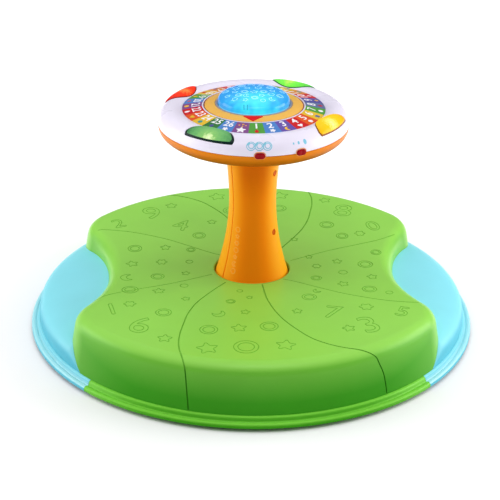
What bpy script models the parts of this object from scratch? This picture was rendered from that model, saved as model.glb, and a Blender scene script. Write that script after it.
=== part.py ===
"""Toddler spinning seat: a green two-lobed seat that turns on a floor plate round a fixed column and wheel.

Metres, +Z up. The origin is the centre of the underside, on the floor, and the seat's lobes lie along Y.
The wheel head is built facing -Y in its own frame, which an empty turns by HEAD_YAW.
"""

import math

import bmesh
import bpy
from mathutils import Matrix, Vector

MM = 0.001

# Clearances and walls
GAP = 0.3 * MM
WALL = 2.5 * MM

# Overall sizes
BASE_RADIUS = 254 * MM
HEAD_RADIUS = 105 * MM
HEAD_SEAM_Z = 241 * MM
HEAD_YAW = math.radians(13.5)

# Foot pads and floor plate
PAD_RADIUS = 14 * MM
PAD_INSET = 25 * MM
PAD_STAND = 3.3 * MM
PAD_SINK = 1.0 * MM
PAD_COUNT = 4
FLOOR_PLATE_INSET = 29 * MM
FLOOR_PLATE_THICK = 3 * MM
FLOOR_LIP_WIDTH = 3 * MM
FLOOR_LIP_HEIGHT = 3.2 * MM

# Post, its foot, its bolt and its lock ring
POST_RADIUS = 19 * MM
POST_NECK_RADIUS = 17 * MM
POST_WALL = 3 * MM
POST_FLANGE_WIDTH = 15 * MM
POST_FLANGE_THICK = 2.4 * MM
BOLT_RADIUS = 4 * MM
BOLT_HEAD_RADIUS = 8 * MM
BOLT_HEAD_THICK = 4.5 * MM
LOCK_RING_WIDTH = 6.7 * MM
LOCK_RING_THICK = 4 * MM

# Turntable plate, hub and bush
PLATE_THICK = 2.5 * MM
PLATE_EDGE_GAP = 1.0 * MM
HUB_WALL = 3.1 * MM
HUB_CLEARANCE = 7 * MM
BUSH_WALL = 3.3 * MM
BUSH_FLANGE_WIDTH = 7.4 * MM
BUSH_FLANGE_THICK = 1.5 * MM

# Rollers under the turntable
ROLLER_COUNT = 6
ROLLER_RADIUS = 12 * MM
ROLLER_WIDTH = 8 * MM
ROLLER_CIRCLE = 150 * MM
ROLLER_SIDE_GAP = 0.8 * MM
JOURNAL_RADIUS = 2.5 * MM
EAR_THICK = 2.4 * MM
EAR_LENGTH = 12 * MM
EAR_RISE = 4.5 * MM

# Seat outline: two lobes of the rim circle, round corners and a waist on each side
RIM_LEDGE_WIDTH = 10 * MM
CORNER_RADIUS = 57.6 * MM
SEAT_HALF_WIDTH = 202.7 * MM
WAIST_HALF_WIDTH = 171.6 * MM
SEAT_LOBE_Z = 67.5 * MM
SADDLE_DEPTH = 4.9 * MM
SADDLE_RUN = 130 * MM
WALL_DRAFT = 7 * MM
SHOULDER_RADIUS = 16 * MM
SEAT_HOLE_RADIUS = 43 * MM
BOSS_RADIUS = 5 * MM
SEAT_BOSS_X = 75 * MM
SEAT_BOSS_Y = 120 * MM

# Rim that runs round the whole edge, and the side panels
RIM_BOTTOM_Z = 4.6 * MM
RIM_LEDGE_Z = 14 * MM
BEAD_TOP_Z = 9.6 * MM
BEAD_WIDTH = 4.2 * MM
RIM_BREAK = math.radians(43.5)
FENDER_RISE = 33 * MM
FENDER_RUN = 80 * MM
FENDER_POWER = 0.2
PANEL_BOSS_AT = 205 * MM
BOSS_SCREW_LENGTH = 16 * MM

# Column shells
COLUMN_WAIST_RADIUS = 26.5 * MM
COLUMN_WAIST_Z = 153 * MM
COLUMN_FOOT_Z = 57 * MM
COLUMN_FOOT_FLARE = 15.9 * MM
COLUMN_TOP_FLARE = 4 * MM
COLUMN_WEB = 2.5 * MM
COLUMN_SEAM_ANGLE = math.radians(33.4)
COLUMN_SCREW_ANGLE = math.radians(-34.6)
COLUMN_SCREW_HEIGHTS = {"lower": 115 * MM, "upper": 186.5 * MM}

# Wheel head: orange bowl, white crown and the deck inside it
NECK_HEIGHT = 11.5 * MM
NECK_FLARE = 8 * MM
BOWL_DEPTH = 23.5 * MM
BOWL_POWER = 2.5
CROWN_RADIUS = 16.5 * MM
CROWN_EDGE = 2 * MM
CROWN_INNER_RADIUS = 20 * MM
CROWN_BAND = 26.3 * MM
DECK_STEP = 1.2 * MM
DIAL_RADIUS = 54.9 * MM
DIAL_LIP_WIDTH = 1.7 * MM
DIAL_LIP_HEIGHT = 1.4 * MM
DECK_SLOPE = 4.2 * MM
DIAL_WELL_DEPTH = 3.3 * MM
COLLAR_HEIGHT = 12 * MM
HEAD_BOSS_RADIUS = 4.5 * MM
LABEL_THICK = 0.9 * MM

# Dial: hub, pointer ring, arrow and dome
DIAL_SHAFT_RADIUS = 12 * MM
DIAL_SHAFT_LENGTH = 11 * MM
DIAL_BUSH_WALL = 2.7 * MM
DIAL_BUSH_LENGTH = 8 * MM
DIAL_BUSH_FLANGE = 4 * MM
DIAL_BUSH_FLANGE_THICK = 1 * MM
DIAL_DISC_THICK = 1.3 * MM
POINTER_RING_THICK = 1.6 * MM
DOME_RADIUS = 39.4 * MM
DOME_SKIRT = 5.7 * MM
DOME_RISE = 12 * MM
DOME_POWER = 2.6
DOME_WALL = 2 * MM
ARROW_HALF_WIDTH = 10.5 * MM
ARROW_THICK = 0.8 * MM
ARROW_ANGLE = math.radians(-93.3) - HEAD_YAW

# Light-up buttons
BUTTON_EDGE = 3 * MM
BUTTON_DEPTH = 22.6 * MM
BUTTON_INNER_ARC = 36 * MM
BUTTON_PROUD = 1.3 * MM
BUTTON_THICK = 4 * MM
BUTTON_TRAVEL = 2 * MM
STEM_RADIUS = 4 * MM
STEM_INSET = 21 * MM
BUTTON_ANGLES = {"front_left": -135, "front_right": -45, "back_right": 45, "back_left": 135}

# Circuit board and what is on it
BOARD_INSET = 17 * MM
BOARD_HOLE_RADIUS = 18 * MM
BOARD_THICK = 1.6 * MM
BOARD_RISE = 1 * MM
KEY_PAD_RADIUS = 3.5 * MM
KEY_PAD_HEIGHT = 1 * MM
BOARD_POST_CIRCLE = 66 * MM
BOARD_POST_RADIUS = 3 * MM
SPEAKER_RADIUS = 20 * MM
SPEAKER_THICK = 11 * MM
SPEAKER_AT = 55 * MM
SPEAKER_SEAT_HEIGHT = 5 * MM

# Slide switches
SWITCH_OFFSET = math.radians(12.3)
SWITCH_Z = 242.2 * MM - HEAD_SEAM_Z
SWITCH_TRAVEL = 3 * MM
SWITCH_INSET = 15 * MM
KNOB_LENGTH = 11 * MM
KNOB_HEIGHT = 6.5 * MM
KNOB_THICK = 2.2 * MM
KNOB_STEM = 3 * MM
SWITCH_BODY = Vector((14, 14, 5.5)) * MM

# Battery bay
CELL_RADIUS = 5.2 * MM
CELL_LENGTH = 44.5 * MM
CELL_COUNT = 3
CELL_GAP = 0.8 * MM
BAY_WALL = 1.5 * MM
BAY_START = 31 * MM
BAY_ROOM = 1 * MM
BAY_FLOOR = 2 * MM
DOOR_TAB_LENGTH = 10 * MM
DOOR_TAB_HALF = 6 * MM
DOOR_BOSS_HEIGHT = 9 * MM
DOOR_THICK = 2 * MM
DOOR_RECESS = 1.5 * MM
BAY_FRAME_HEIGHT = 5 * MM

# Screws
SCREW_RADIUS = 1.8 * MM
SCREW_HEAD_RADIUS = 3.2 * MM
SCREW_HEAD_THICK = 1.8 * MM
HEAD_SCREW_INSET = 12 * MM
HEAD_SCREW_SEAT = 8 * MM
HEAD_SCREW_LENGTH = 15 * MM
HEAD_SCREW_ANGLES = {"front": -90, "right": 0, "left": 180}

# Radii and pitches that follow the pieces they fit
FLOOR_PLATE_RADIUS = BASE_RADIUS - FLOOR_PLATE_INSET
PAD_CIRCLE = FLOOR_PLATE_RADIUS - PAD_INSET
BOARD_RADIUS = HEAD_RADIUS - BOARD_INSET
HEAD_SCREW_CIRCLE = HEAD_RADIUS - HEAD_SCREW_INSET
CELL_PITCH = 2 * CELL_RADIUS + CELL_GAP
POST_FLANGE_RADIUS = POST_RADIUS + POST_FLANGE_WIDTH
LOCK_RING_RADIUS = POST_NECK_RADIUS + GAP + LOCK_RING_WIDTH
BUSH_FLANGE_RADIUS = POST_RADIUS + GAP + BUSH_WALL + BUSH_FLANGE_WIDTH

# Heights worked out from the sizes above, from the floor up
FLOOR_PLATE_Z = PAD_STAND
FLOOR_TOP_Z = FLOOR_PLATE_Z + FLOOR_PLATE_THICK
FLANGE_TOP_Z = FLOOR_TOP_Z + GAP + POST_FLANGE_THICK
BUSH_Z = FLANGE_TOP_Z + GAP
PLATE_Z = BUSH_Z + BUSH_FLANGE_THICK + GAP
PLATE_TOP_Z = PLATE_Z + PLATE_THICK
SHELL_FOOT_Z = PLATE_TOP_Z + GAP
AXLE_Z = FLOOR_TOP_Z + GAP + ROLLER_RADIUS
SEAT_RADIUS = BASE_RADIUS - RIM_LEDGE_WIDTH
PLATE_RADIUS = SEAT_RADIUS - WALL - PLATE_EDGE_GAP
HUB_BORE = POST_RADIUS + GAP + BUSH_WALL + GAP
HUB_TOP_Z = COLUMN_FOOT_Z - HUB_CLEARANCE
NECK_Z = HEAD_SEAM_Z - BOWL_DEPTH - NECK_HEIGHT
COLUMN_TOP_Z = NECK_Z - GAP
NECK_RADIUS = COLUMN_WAIST_RADIUS + COLUMN_TOP_FLARE
CROWN_Z = HEAD_SEAM_Z + CROWN_EDGE
CROWN_CENTRE = HEAD_RADIUS - CROWN_RADIUS
CROWN_TOP_Z = CROWN_Z + CROWN_RADIUS
LABEL_OUTER = HEAD_RADIUS - CROWN_BAND
LABEL_INNER = DIAL_RADIUS + GAP + DIAL_LIP_WIDTH
LABEL_EDGE_Z = (
    CROWN_TOP_Z
    - CROWN_INNER_RADIUS
    + math.sqrt(CROWN_INNER_RADIUS**2 - (CROWN_CENTRE - LABEL_OUTER) ** 2)
)
DECK_OUTER_Z = LABEL_EDGE_Z - DECK_STEP
DECK_INNER_Z = DECK_OUTER_Z + DECK_SLOPE
WELL_Z = DECK_INNER_Z - DIAL_WELL_DEPTH
DISC_Z = WELL_Z + 2 * GAP + DIAL_BUSH_FLANGE_THICK
RING_Z = DISC_Z + DIAL_DISC_THICK + GAP
BOARD_Z = HEAD_SEAM_Z + BOARD_RISE
BOARD_TOP_Z = BOARD_Z + BOARD_THICK
BAY_HALF_LENGTH = CELL_LENGTH / 2 + BAY_ROOM + BAY_WALL
BAY_END = BAY_START + CELL_COUNT * CELL_PITCH + 2 * BAY_WALL
DOOR_Z = HEAD_SEAM_Z - BOWL_DEPTH + DOOR_RECESS
BAY_Z = DOOR_Z + DOOR_THICK + GAP
CELL_Z = BAY_Z + BAY_FLOOR + CELL_RADIUS
BAY_TOP_Z = CELL_Z + CELL_RADIUS + BAY_ROOM + BAY_WALL
COLLAR_TOP_Z = NECK_Z + WALL + COLLAR_HEIGHT
SPEAKER_Z = HEAD_SEAM_Z - BOWL_DEPTH + WALL + SPEAKER_SEAT_HEIGHT
KEY_TOP_Z = BOARD_TOP_Z + GAP + KEY_PAD_HEIGHT


def new_collection(name):
    """An empty collection, linked to the scene."""
    collection = bpy.data.collections.new(name)
    bpy.context.scene.collection.children.link(collection)
    return collection


def clear_scene():
    for old in list(bpy.data.objects):
        bpy.data.objects.remove(old)


clear_scene()
PARTS = new_collection("toddler_spinning_seat")
CUTTERS = new_collection("cutters")


def plastic(name, colour, roughness=0.35, metallic=0.0, alpha=1.0):
    """A Principled material."""
    material = bpy.data.materials.new(name)
    material.use_nodes = True
    shader = material.node_tree.nodes["Principled BSDF"]
    shader.inputs["Base Color"].default_value = (*colour, 1.0)
    shader.inputs["Roughness"].default_value = roughness
    shader.inputs["Metallic"].default_value = metallic
    shader.inputs["Alpha"].default_value = alpha
    material.diffuse_color = (*colour, alpha)
    return material


GREEN = plastic("seat_green", (0.27, 0.66, 0.08))
BLUE = plastic("panel_blue", (0.22, 0.76, 0.87))
ORANGE = plastic("column_orange", (0.88, 0.33, 0.02))
WHITE = plastic("crown_white", (0.88, 0.86, 0.92))
AMBER = plastic("ring_amber", (0.93, 0.52, 0.10))
RED = plastic("arrow_red", (0.62, 0.02, 0.03))
KNOB_RED = plastic("knob_red", (0.30, 0.01, 0.02))
DOME_BLUE = plastic("dome_blue", (0.02, 0.42, 0.92), 0.15, alpha=0.85)
BUTTON_GREEN = plastic("button_green", (0.10, 0.62, 0.12), 0.2)
BUTTON_YELLOW = plastic("button_yellow", (0.95, 0.62, 0.02), 0.2)
BUTTON_RED = plastic("button_red", (0.85, 0.02, 0.01), 0.2)
LABEL = plastic("label_print", (0.55, 0.30, 0.40), 0.4)
RUBBER = plastic("pad_rubber", (0.05, 0.05, 0.055), 0.8)
GREY = plastic("inner_grey", (0.18, 0.19, 0.21), 0.5)
NYLON = plastic("bush_nylon", (0.82, 0.80, 0.74), 0.4)
STEEL = plastic("screw_steel", (0.62, 0.62, 0.64), 0.3, metallic=1.0)
BOARD_GREEN = plastic("board_green", (0.02, 0.22, 0.09), 0.5)
CELL_SKIN = plastic("cell_skin", (0.75, 0.55, 0.20), 0.35, metallic=0.6)


def add(name, mesh, material=None, collection=PARTS):
    """Links a new object; one with no material is a helper that shapes the others."""
    made = bpy.data.objects.new(name, mesh)
    if material:
        mesh.materials.append(material)
        mesh.shade_smooth()
        mesh.set_sharp_from_angle(angle=math.radians(40))
        collection.objects.link(made)
    else:
        CUTTERS.objects.link(made)
        made.hide_render = True
        made.display_type = "WIRE"
    return made


def mesh_from(name, bm):
    """A mesh that holds the bmesh, which is freed."""
    mesh = bpy.data.meshes.new(name)
    bm.to_mesh(mesh)
    bm.free()
    return mesh


def turned(name, outline, material=None, segments=48):
    """A profile of (radius, height) turned about Z; it runs down its outer side first."""
    bm = bmesh.new()
    points = [bm.verts.new((radius, 0, height)) for radius, height in outline]
    for start, end in zip(points, points[1:]):
        bm.edges.new((start, end))
    if outline[0][0] > 0:
        bm.edges.new((points[-1], points[0]))
    made = add(name, mesh_from(name, bm), material)
    screw = made.modifiers.new("turn", "SCREW")
    screw.steps = segments
    screw.render_steps = segments
    screw.use_merge_vertices = True
    screw.merge_threshold = 0.00001
    screw.use_smooth_shade = True
    return made


def box(name, low, high, material=None):
    """A box from its low corner to its high corner, with its origin at its centre."""
    low, high = Vector(low), Vector(high)
    bm = bmesh.new()
    bmesh.ops.create_cube(bm, size=1.0, matrix=Matrix.Diagonal((*(high - low), 1.0)))
    made = add(name, mesh_from(name, bm), material)
    made.location = (low + high) / 2
    return made


def cylinder(name, radius, bottom, top, at=(0, 0), material=None, segments=24, top_radius=None):
    """An upright cylinder or cone between two heights, with its origin at its centre."""
    bm = bmesh.new()
    bmesh.ops.create_cone(
        bm,
        cap_ends=True,
        segments=segments,
        radius1=radius,
        radius2=radius if top_radius is None else top_radius,
        depth=top - bottom,
    )
    made = add(name, mesh_from(name, bm), material)
    made.location = (at[0], at[1], (bottom + top) / 2)
    return made


def lie_along(made, angle, distance, height):
    """Lays an upright piece along the horizontal line at this angle, centred at the distance."""
    made.rotation_euler = (0, math.radians(90), angle)
    made.location = (distance * math.cos(angle), distance * math.sin(angle), height)
    return made


def slab(name, outline, bottom, top, material=None):
    """A flat outline of (x, y) points, filled and given its thickness as a 2D curve, then made a mesh."""
    curve = bpy.data.curves.new(name, "CURVE")
    curve.dimensions = "2D"
    curve.fill_mode = "BOTH"
    curve.extrude = (top - bottom) / 2
    spline = curve.splines.new("POLY")
    spline.points.add(len(outline) - 1)
    for point, (x, y) in zip(spline.points, outline):
        point.co = (x, y, 0, 1)
    spline.use_cyclic_u = True
    drawn = bpy.data.objects.new(name + "_outline", curve)
    CUTTERS.objects.link(drawn)
    drawn.location.z = (bottom + top) / 2
    bpy.context.view_layer.update()
    graph = bpy.context.evaluated_depsgraph_get()
    mesh = bpy.data.meshes.new_from_object(drawn.evaluated_get(graph))
    bm = bmesh.new()
    bm.from_mesh(mesh)
    bmesh.ops.remove_doubles(bm, verts=bm.verts, dist=0.00001)
    bmesh.ops.recalc_face_normals(bm, faces=bm.faces)
    bm.to_mesh(mesh)
    bm.free()
    mesh.name = name
    mesh.materials.clear()
    made = add(name, mesh, material)
    made.matrix_world = drawn.matrix_world
    bpy.data.objects.remove(drawn)
    return made


def boolean(target, tool, operation):
    modifier = target.modifiers.new(tool.name, "BOOLEAN")
    modifier.operation = operation
    modifier.object = tool
    return target


def cut(target, *tools):
    for tool in tools:
        boolean(target, tool, "DIFFERENCE")
    return target


def join(target, *tools):
    for tool in tools:
        boolean(target, tool, "UNION")
    return target


def keep(target, tool):
    return boolean(target, tool, "INTERSECT")


def arc(centre, radius, start, end, steps):
    """Points on an arc, in degrees, both ends included."""
    turns = [math.radians(start + (end - start) * step / steps) for step in range(steps + 1)]
    return [(centre[0] + radius * math.cos(turn), centre[1] + radius * math.sin(turn)) for turn in turns]


def polar(radius, angle):
    return (radius * math.cos(angle), radius * math.sin(angle))


def screw(name, at, under_head, length):
    """A pan-head screw that points up; under_head is where its head's flat side lies."""
    made = turned(
        name,
        [
            (0, length),
            (SCREW_RADIUS, length),
            (SCREW_RADIUS, 0),
            (SCREW_HEAD_RADIUS, 0),
            (SCREW_HEAD_RADIUS * 0.75, -SCREW_HEAD_THICK),
            (0, -SCREW_HEAD_THICK),
        ],
        STEEL,
        segments=8,
    )
    made.location = (at[0], at[1], under_head)
    return made


def flat_round(radius, rise, foot_z, steps):
    """A flattened round's outline, from its top on the axis out to its foot."""
    path = [(0, foot_z + rise)]
    for step in range(1, steps + 1):
        turn = math.pi / 2 * (1 - step / steps)
        reach = radius * math.cos(turn) ** (2 / DOME_POWER)
        path.append((reach, foot_z + rise * math.sin(turn) ** (2 / DOME_POWER)))
    return path


def offset(points, distance):
    """The path moved to the right of its direction, which is inwards on a path that runs out and down."""
    sides = []
    for start, end in zip(points, points[1:]):
        step = Vector((end[0] - start[0], end[1] - start[1])).normalized()
        sides.append(Vector((step.y, -step.x)))
    moved = []
    for index, point in enumerate(points):
        before = sides[max(index - 1, 0)]
        after = sides[min(index, len(sides) - 1)]
        mean = (before + after).normalized()
        shift = mean * (distance / max(mean.dot(after), 0.5))
        moved.append((point[0] + shift.x, point[1] + shift.y))
    return moved


def turn_about_z(made, angle):
    """Carries a piece round the Z axis, with its own turn."""
    made.location = Matrix.Rotation(angle, 3, "Z") @ made.location
    made.rotation_euler.z += angle
    return made


# Floor plate, pads and post


def make_floor():
    lip_z = FLOOR_TOP_Z + FLOOR_LIP_HEIGHT
    lip_in = FLOOR_PLATE_RADIUS - FLOOR_LIP_WIDTH
    hole = BOLT_RADIUS + GAP
    outline = [
        (FLOOR_PLATE_RADIUS, lip_z),
        (FLOOR_PLATE_RADIUS, FLOOR_PLATE_Z),
        (hole, FLOOR_PLATE_Z),
        (hole, FLOOR_TOP_Z),
        (lip_in, FLOOR_TOP_Z),
        (lip_in, lip_z),
    ]
    plate = turned("floor_plate", outline, GREY, segments=40)
    for index in range(PAD_COUNT):
        at = polar(PAD_CIRCLE, math.radians(45 + index * 360 / PAD_COUNT))
        top = FLOOR_PLATE_Z + PAD_SINK
        cylinder(f"foot_pad_{index + 1}", PAD_RADIUS, 0, top, at, RUBBER, 20)
        pocket = (PAD_RADIUS + GAP, -PAD_SINK, top + GAP)
        cut(plate, cylinder(f"pad_pocket_{index + 1}", *pocket, at, segments=20))


def make_post():
    foot_z = FLOOR_TOP_Z + GAP
    hole = BOLT_RADIUS + GAP
    bore = POST_RADIUS - POST_WALL
    neck_bore = POST_NECK_RADIUS - POST_WALL
    ring_z = COLLAR_TOP_Z + GAP
    ring_top = ring_z + LOCK_RING_THICK
    shoulder_z = NECK_Z - GAP
    outline = [
        (POST_NECK_RADIUS, ring_top),
        (POST_NECK_RADIUS, shoulder_z),
        (POST_RADIUS, shoulder_z),
        (POST_RADIUS, FLANGE_TOP_Z),
        (POST_FLANGE_RADIUS, FLANGE_TOP_Z),
        (POST_FLANGE_RADIUS, foot_z),
        (hole, foot_z),
        (hole, FLANGE_TOP_Z),
        (bore, FLANGE_TOP_Z),
        (bore, shoulder_z - POST_WALL),
        (neck_bore, shoulder_z),
        (neck_bore, ring_top),
    ]
    post = turned("post", outline, GREY, segments=24)
    head_z = FLANGE_TOP_Z + GAP
    bolt = [
        (0, head_z + BOLT_HEAD_THICK),
        (BOLT_HEAD_RADIUS, head_z + BOLT_HEAD_THICK),
        (BOLT_HEAD_RADIUS, head_z),
        (BOLT_RADIUS, head_z),
        (BOLT_RADIUS, FLOOR_PLATE_Z),
        (0, FLOOR_PLATE_Z),
    ]
    turned("post_bolt", bolt, STEEL, segments=12)
    ring = [
        (LOCK_RING_RADIUS, ring_top),
        (LOCK_RING_RADIUS, ring_z),
        (POST_NECK_RADIUS + GAP, ring_z),
        (POST_NECK_RADIUS + GAP, ring_top),
    ]
    turned("post_lock_ring", ring, GREY, segments=24)
    return post


# Column of two shells


def column_radius(height):
    """The tulip outline: it flares with the square of the drop below the waist, and gently above it."""
    if height < COLUMN_WAIST_Z:
        share = (COLUMN_WAIST_Z - height) / (COLUMN_WAIST_Z - COLUMN_FOOT_Z)
        return COLUMN_WAIST_RADIUS + COLUMN_FOOT_FLARE * share**2
    share = (height - COLUMN_WAIST_Z) / (COLUMN_TOP_Z - COLUMN_WAIST_Z)
    return COLUMN_WAIST_RADIUS + COLUMN_TOP_FLARE * share**1.3


def column_side(low, high, steps, inset=0.0):
    """Points up the column's side between two heights."""
    heights = [low + (high - low) * step / steps for step in range(steps + 1)]
    return [(column_radius(height) - inset, height) for height in heights]


def make_column(post):
    foot_in = COLUMN_FOOT_Z + COLUMN_WEB
    top_in = COLUMN_TOP_Z - COLUMN_WEB
    clear = POST_RADIUS + GAP
    outline = column_side(COLUMN_TOP_Z, COLUMN_FOOT_Z, 9)
    outline += [(clear, COLUMN_FOOT_Z), (clear, foot_in)]
    outline += column_side(foot_in, top_in, 5, WALL)
    outline += [(clear, top_in), (clear, COLUMN_TOP_Z)]
    reach = 2 * HEAD_RADIUS
    shells = []
    for side, name in ((-1, "column_front_shell"), (1, "column_rear_shell")):
        shell = turned(name, outline, ORANGE, segments=28)
        near, far = sorted((side * GAP / 2, side * reach))
        half = box(name + "_half", (-reach, near, 0), (reach, far, HEAD_SEAM_Z))
        keep(shell, turn_about_z(half, COLUMN_SEAM_ANGLE))
        shells.append(shell)
    for place, height in COLUMN_SCREW_HEIGHTS.items():
        fasten_column(shells[0], post, place, height)


def fasten_column(shell, post, place, height):
    """A screw through a boss of the front shell into the post, with its recess and holes."""
    seat = column_radius(height) - WALL
    clear = POST_RADIUS + GAP
    boss_end = seat + WALL / 2
    half = (boss_end - clear) / 2
    boss = cylinder(f"column_boss_{place}", SCREW_HEAD_RADIUS + WALL, -half, half, segments=10)
    recess = cylinder(f"column_recess_{place}", SCREW_HEAD_RADIUS + GAP, -2 * WALL, 2 * WALL, segments=10)
    hole = cylinder(f"column_hole_{place}", SCREW_RADIUS + GAP, -seat / 2, seat / 2, segments=8)
    lie_along(boss, COLUMN_SCREW_ANGLE, (boss_end + clear) / 2, height)
    lie_along(recess, COLUMN_SCREW_ANGLE, seat + 2 * WALL, height)
    lie_along(hole, COLUMN_SCREW_ANGLE, seat, height)
    join(shell, boss)
    cut(shell, recess, hole)
    cut(post, hole)
    pin = screw(f"column_screw_{place}", (0, 0), 0, seat - POST_RADIUS + POST_WALL)
    pin.rotation_euler = (0, math.radians(-90), COLUMN_SCREW_ANGLE)
    pin.location = (*polar(seat + GAP, COLUMN_SCREW_ANGLE), height)


# Seat outline, shell and panels


def seat_outline(inset, waist_steps=4, corner_steps=5, lobe_steps=6):
    """The closed seat outline, drawn in by inset, anticlockwise from the +X waist.

    Each quarter is a waist arc, a corner arc and a lobe arc on the rim's centre, each tangent to the next.
    """
    corner_x = SEAT_HALF_WIDTH - CORNER_RADIUS
    corner_y = math.sqrt((SEAT_RADIUS - CORNER_RADIUS) ** 2 - corner_x**2)
    rise = WAIST_HALF_WIDTH - corner_x
    spread = 2 * (SEAT_HALF_WIDTH - WAIST_HALF_WIDTH)
    waist_radius = (corner_y**2 + rise**2 - CORNER_RADIUS**2) / spread
    waist_x = WAIST_HALF_WIDTH + waist_radius
    lobe_turn = math.degrees(math.atan2(corner_y, corner_x))
    waist_turn = math.degrees(math.atan2(corner_y, corner_x - waist_x))
    waist = arc((waist_x, 0), waist_radius + inset, 180, waist_turn, waist_steps)
    corner_arc = (CORNER_RADIUS - inset, waist_turn - 180, lobe_turn, corner_steps)
    corner = arc((corner_x, corner_y), *corner_arc)
    quarter = waist[:-1] + corner[:-1] + arc((0, 0), SEAT_RADIUS - inset, lobe_turn, 90, lobe_steps)
    upper = quarter + [(-x, y) for x, y in reversed(quarter[:-1])]
    return upper + [(-x, -y) for x, y in upper[1:-1]]


def saddle_height(y):
    """Height of the seat's top: lower in the valley across the column than on the lobes."""
    share = min(1.0, abs(y) / SADDLE_RUN)
    return SEAT_LOBE_Z - SADDLE_DEPTH * (1 - share * share * (3 - 2 * share))


def level_ring(points, height):
    return [(x, y, height) for x, y in points]


def shoulder_ring(inset, turn):
    """One ring of the shoulder: turn 0 is where it leaves the wall and 90 where it meets the top."""
    radius = SHOULDER_RADIUS - inset
    in_here = WALL_DRAFT + inset + radius * (1 - math.cos(math.radians(turn)))
    rise = radius * math.sin(math.radians(turn)) - SHOULDER_RADIUS
    ends = seat_outline(WALL_DRAFT + SHOULDER_RADIUS)
    return [(x, y, saddle_height(end[1]) + rise) for (x, y), end in zip(seat_outline(in_here), ends)]


def top_ring(share, drop, hole):
    """One ring of the top, from the shoulder at share 0 to the hole round the column at share 1."""
    ring = []
    for x, y in seat_outline(WALL_DRAFT + SHOULDER_RADIUS):
        stay = 1 - share + share * hole / math.hypot(x, y)
        ring.append((x * stay, y * stay, saddle_height(y * stay) - drop))
    return ring


def hole_ring(radius, height):
    """A ring on the hole's circle, one point for each point of the outline."""
    return [(x, y, height) for x, y, _ in top_ring(1, 0, radius)]


def loft(name, rings, material=None, closed=True):
    """A skin through rings of equal length: closed into a ring of sections, or capped at both ends."""
    bm = bmesh.new()
    rows = [[bm.verts.new(point) for point in ring] for ring in rings]
    pairs = list(zip(rows, rows[1:]))
    if closed:
        pairs.append((rows[-1], rows[0]))
    else:
        bm.faces.new(rows[0])
        bm.faces.new(rows[-1])
    for low, high in pairs:
        for here in range(len(low)):
            there = (here + 1) % len(low)
            bm.faces.new((low[here], low[there], high[there], high[here]))
    bmesh.ops.recalc_face_normals(bm, faces=bm.faces)
    return add(name, mesh_from(name, bm), material)


def seat_envelope(name, growth):
    """A closed solid of the seat's outside, grown by growth, for cutting the panels."""
    inner = seat_outline(WALL_DRAFT + SHOULDER_RADIUS)
    rings = [level_ring(seat_outline(-growth), -SHELL_FOOT_Z)]
    rings.append(level_ring(seat_outline(-growth), SHELL_FOOT_Z))
    rings += [shoulder_ring(-growth, turn) for turn in (0, 30, 60, 90)]
    rings.append(level_ring(inner, 2 * SEAT_LOBE_Z))
    return loft(name, rings, closed=False)


def rim_section():
    """The bead and its ledge on the outside, from the ledge's top out and down to the underside."""
    bead_in = BASE_RADIUS - BEAD_WIDTH
    round_off = BEAD_WIDTH / 3
    return [
        (SEAT_RADIUS, RIM_LEDGE_Z),
        (bead_in, BEAD_TOP_Z - round_off / 2),
        (bead_in + round_off, BEAD_TOP_Z),
        (BASE_RADIUS - round_off, BEAD_TOP_Z),
        (BASE_RADIUS, BEAD_TOP_Z - round_off),
        (BASE_RADIUS, RIM_BOTTOM_Z),
    ]


def rim_hollow():
    """The inside of the rim, from the ledge's underside out to the skirt's foot."""
    bead_in = BASE_RADIUS - BEAD_WIDTH
    return [
        (SEAT_RADIUS - WALL / 2, RIM_LEDGE_Z - WALL),
        (bead_in - WALL / 2, BEAD_TOP_Z - WALL - BEAD_WIDTH / 6),
        (BASE_RADIUS - WALL, BEAD_TOP_Z - WALL),
        (BASE_RADIUS - WALL, RIM_BOTTOM_Z),
    ]


def wedge(name, half_angle, shift, facing):
    """A tall prism that opens from near the axis by half_angle to each side of the way it faces."""
    reach = 2 * BASE_RADIUS
    start = shift / math.sin(half_angle)
    sides = [polar(reach, turn) for turn in (-half_angle, half_angle)]
    outline = [(start, 0)] + [(start + x, y) for x, y in sides]
    made = slab(name, outline, -HEAD_SEAM_Z, HEAD_SEAM_Z)
    made.rotation_euler.z = math.radians(facing)
    return made


def add_green_rims(shell):
    """The two rim sectors that the seat shell carries, front and back."""
    root = [(SEAT_RADIUS - 0.5 * WALL, height) for height in (RIM_LEDGE_Z + WALL, RIM_LEDGE_Z)]
    back = [(SEAT_RADIUS - 0.8 * WALL, RIM_LEDGE_Z + WALL)]
    outline = root + rim_section() + list(reversed(rim_hollow())) + back
    for facing, place in ((90, "back"), (-90, "front")):
        sector = turned(f"{place}_rim", outline, segments=64)
        keep(sector, wedge(f"{place}_rim_wedge", math.pi / 2 - RIM_BREAK, GAP / 2, facing))
        join(shell, sector)


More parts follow.
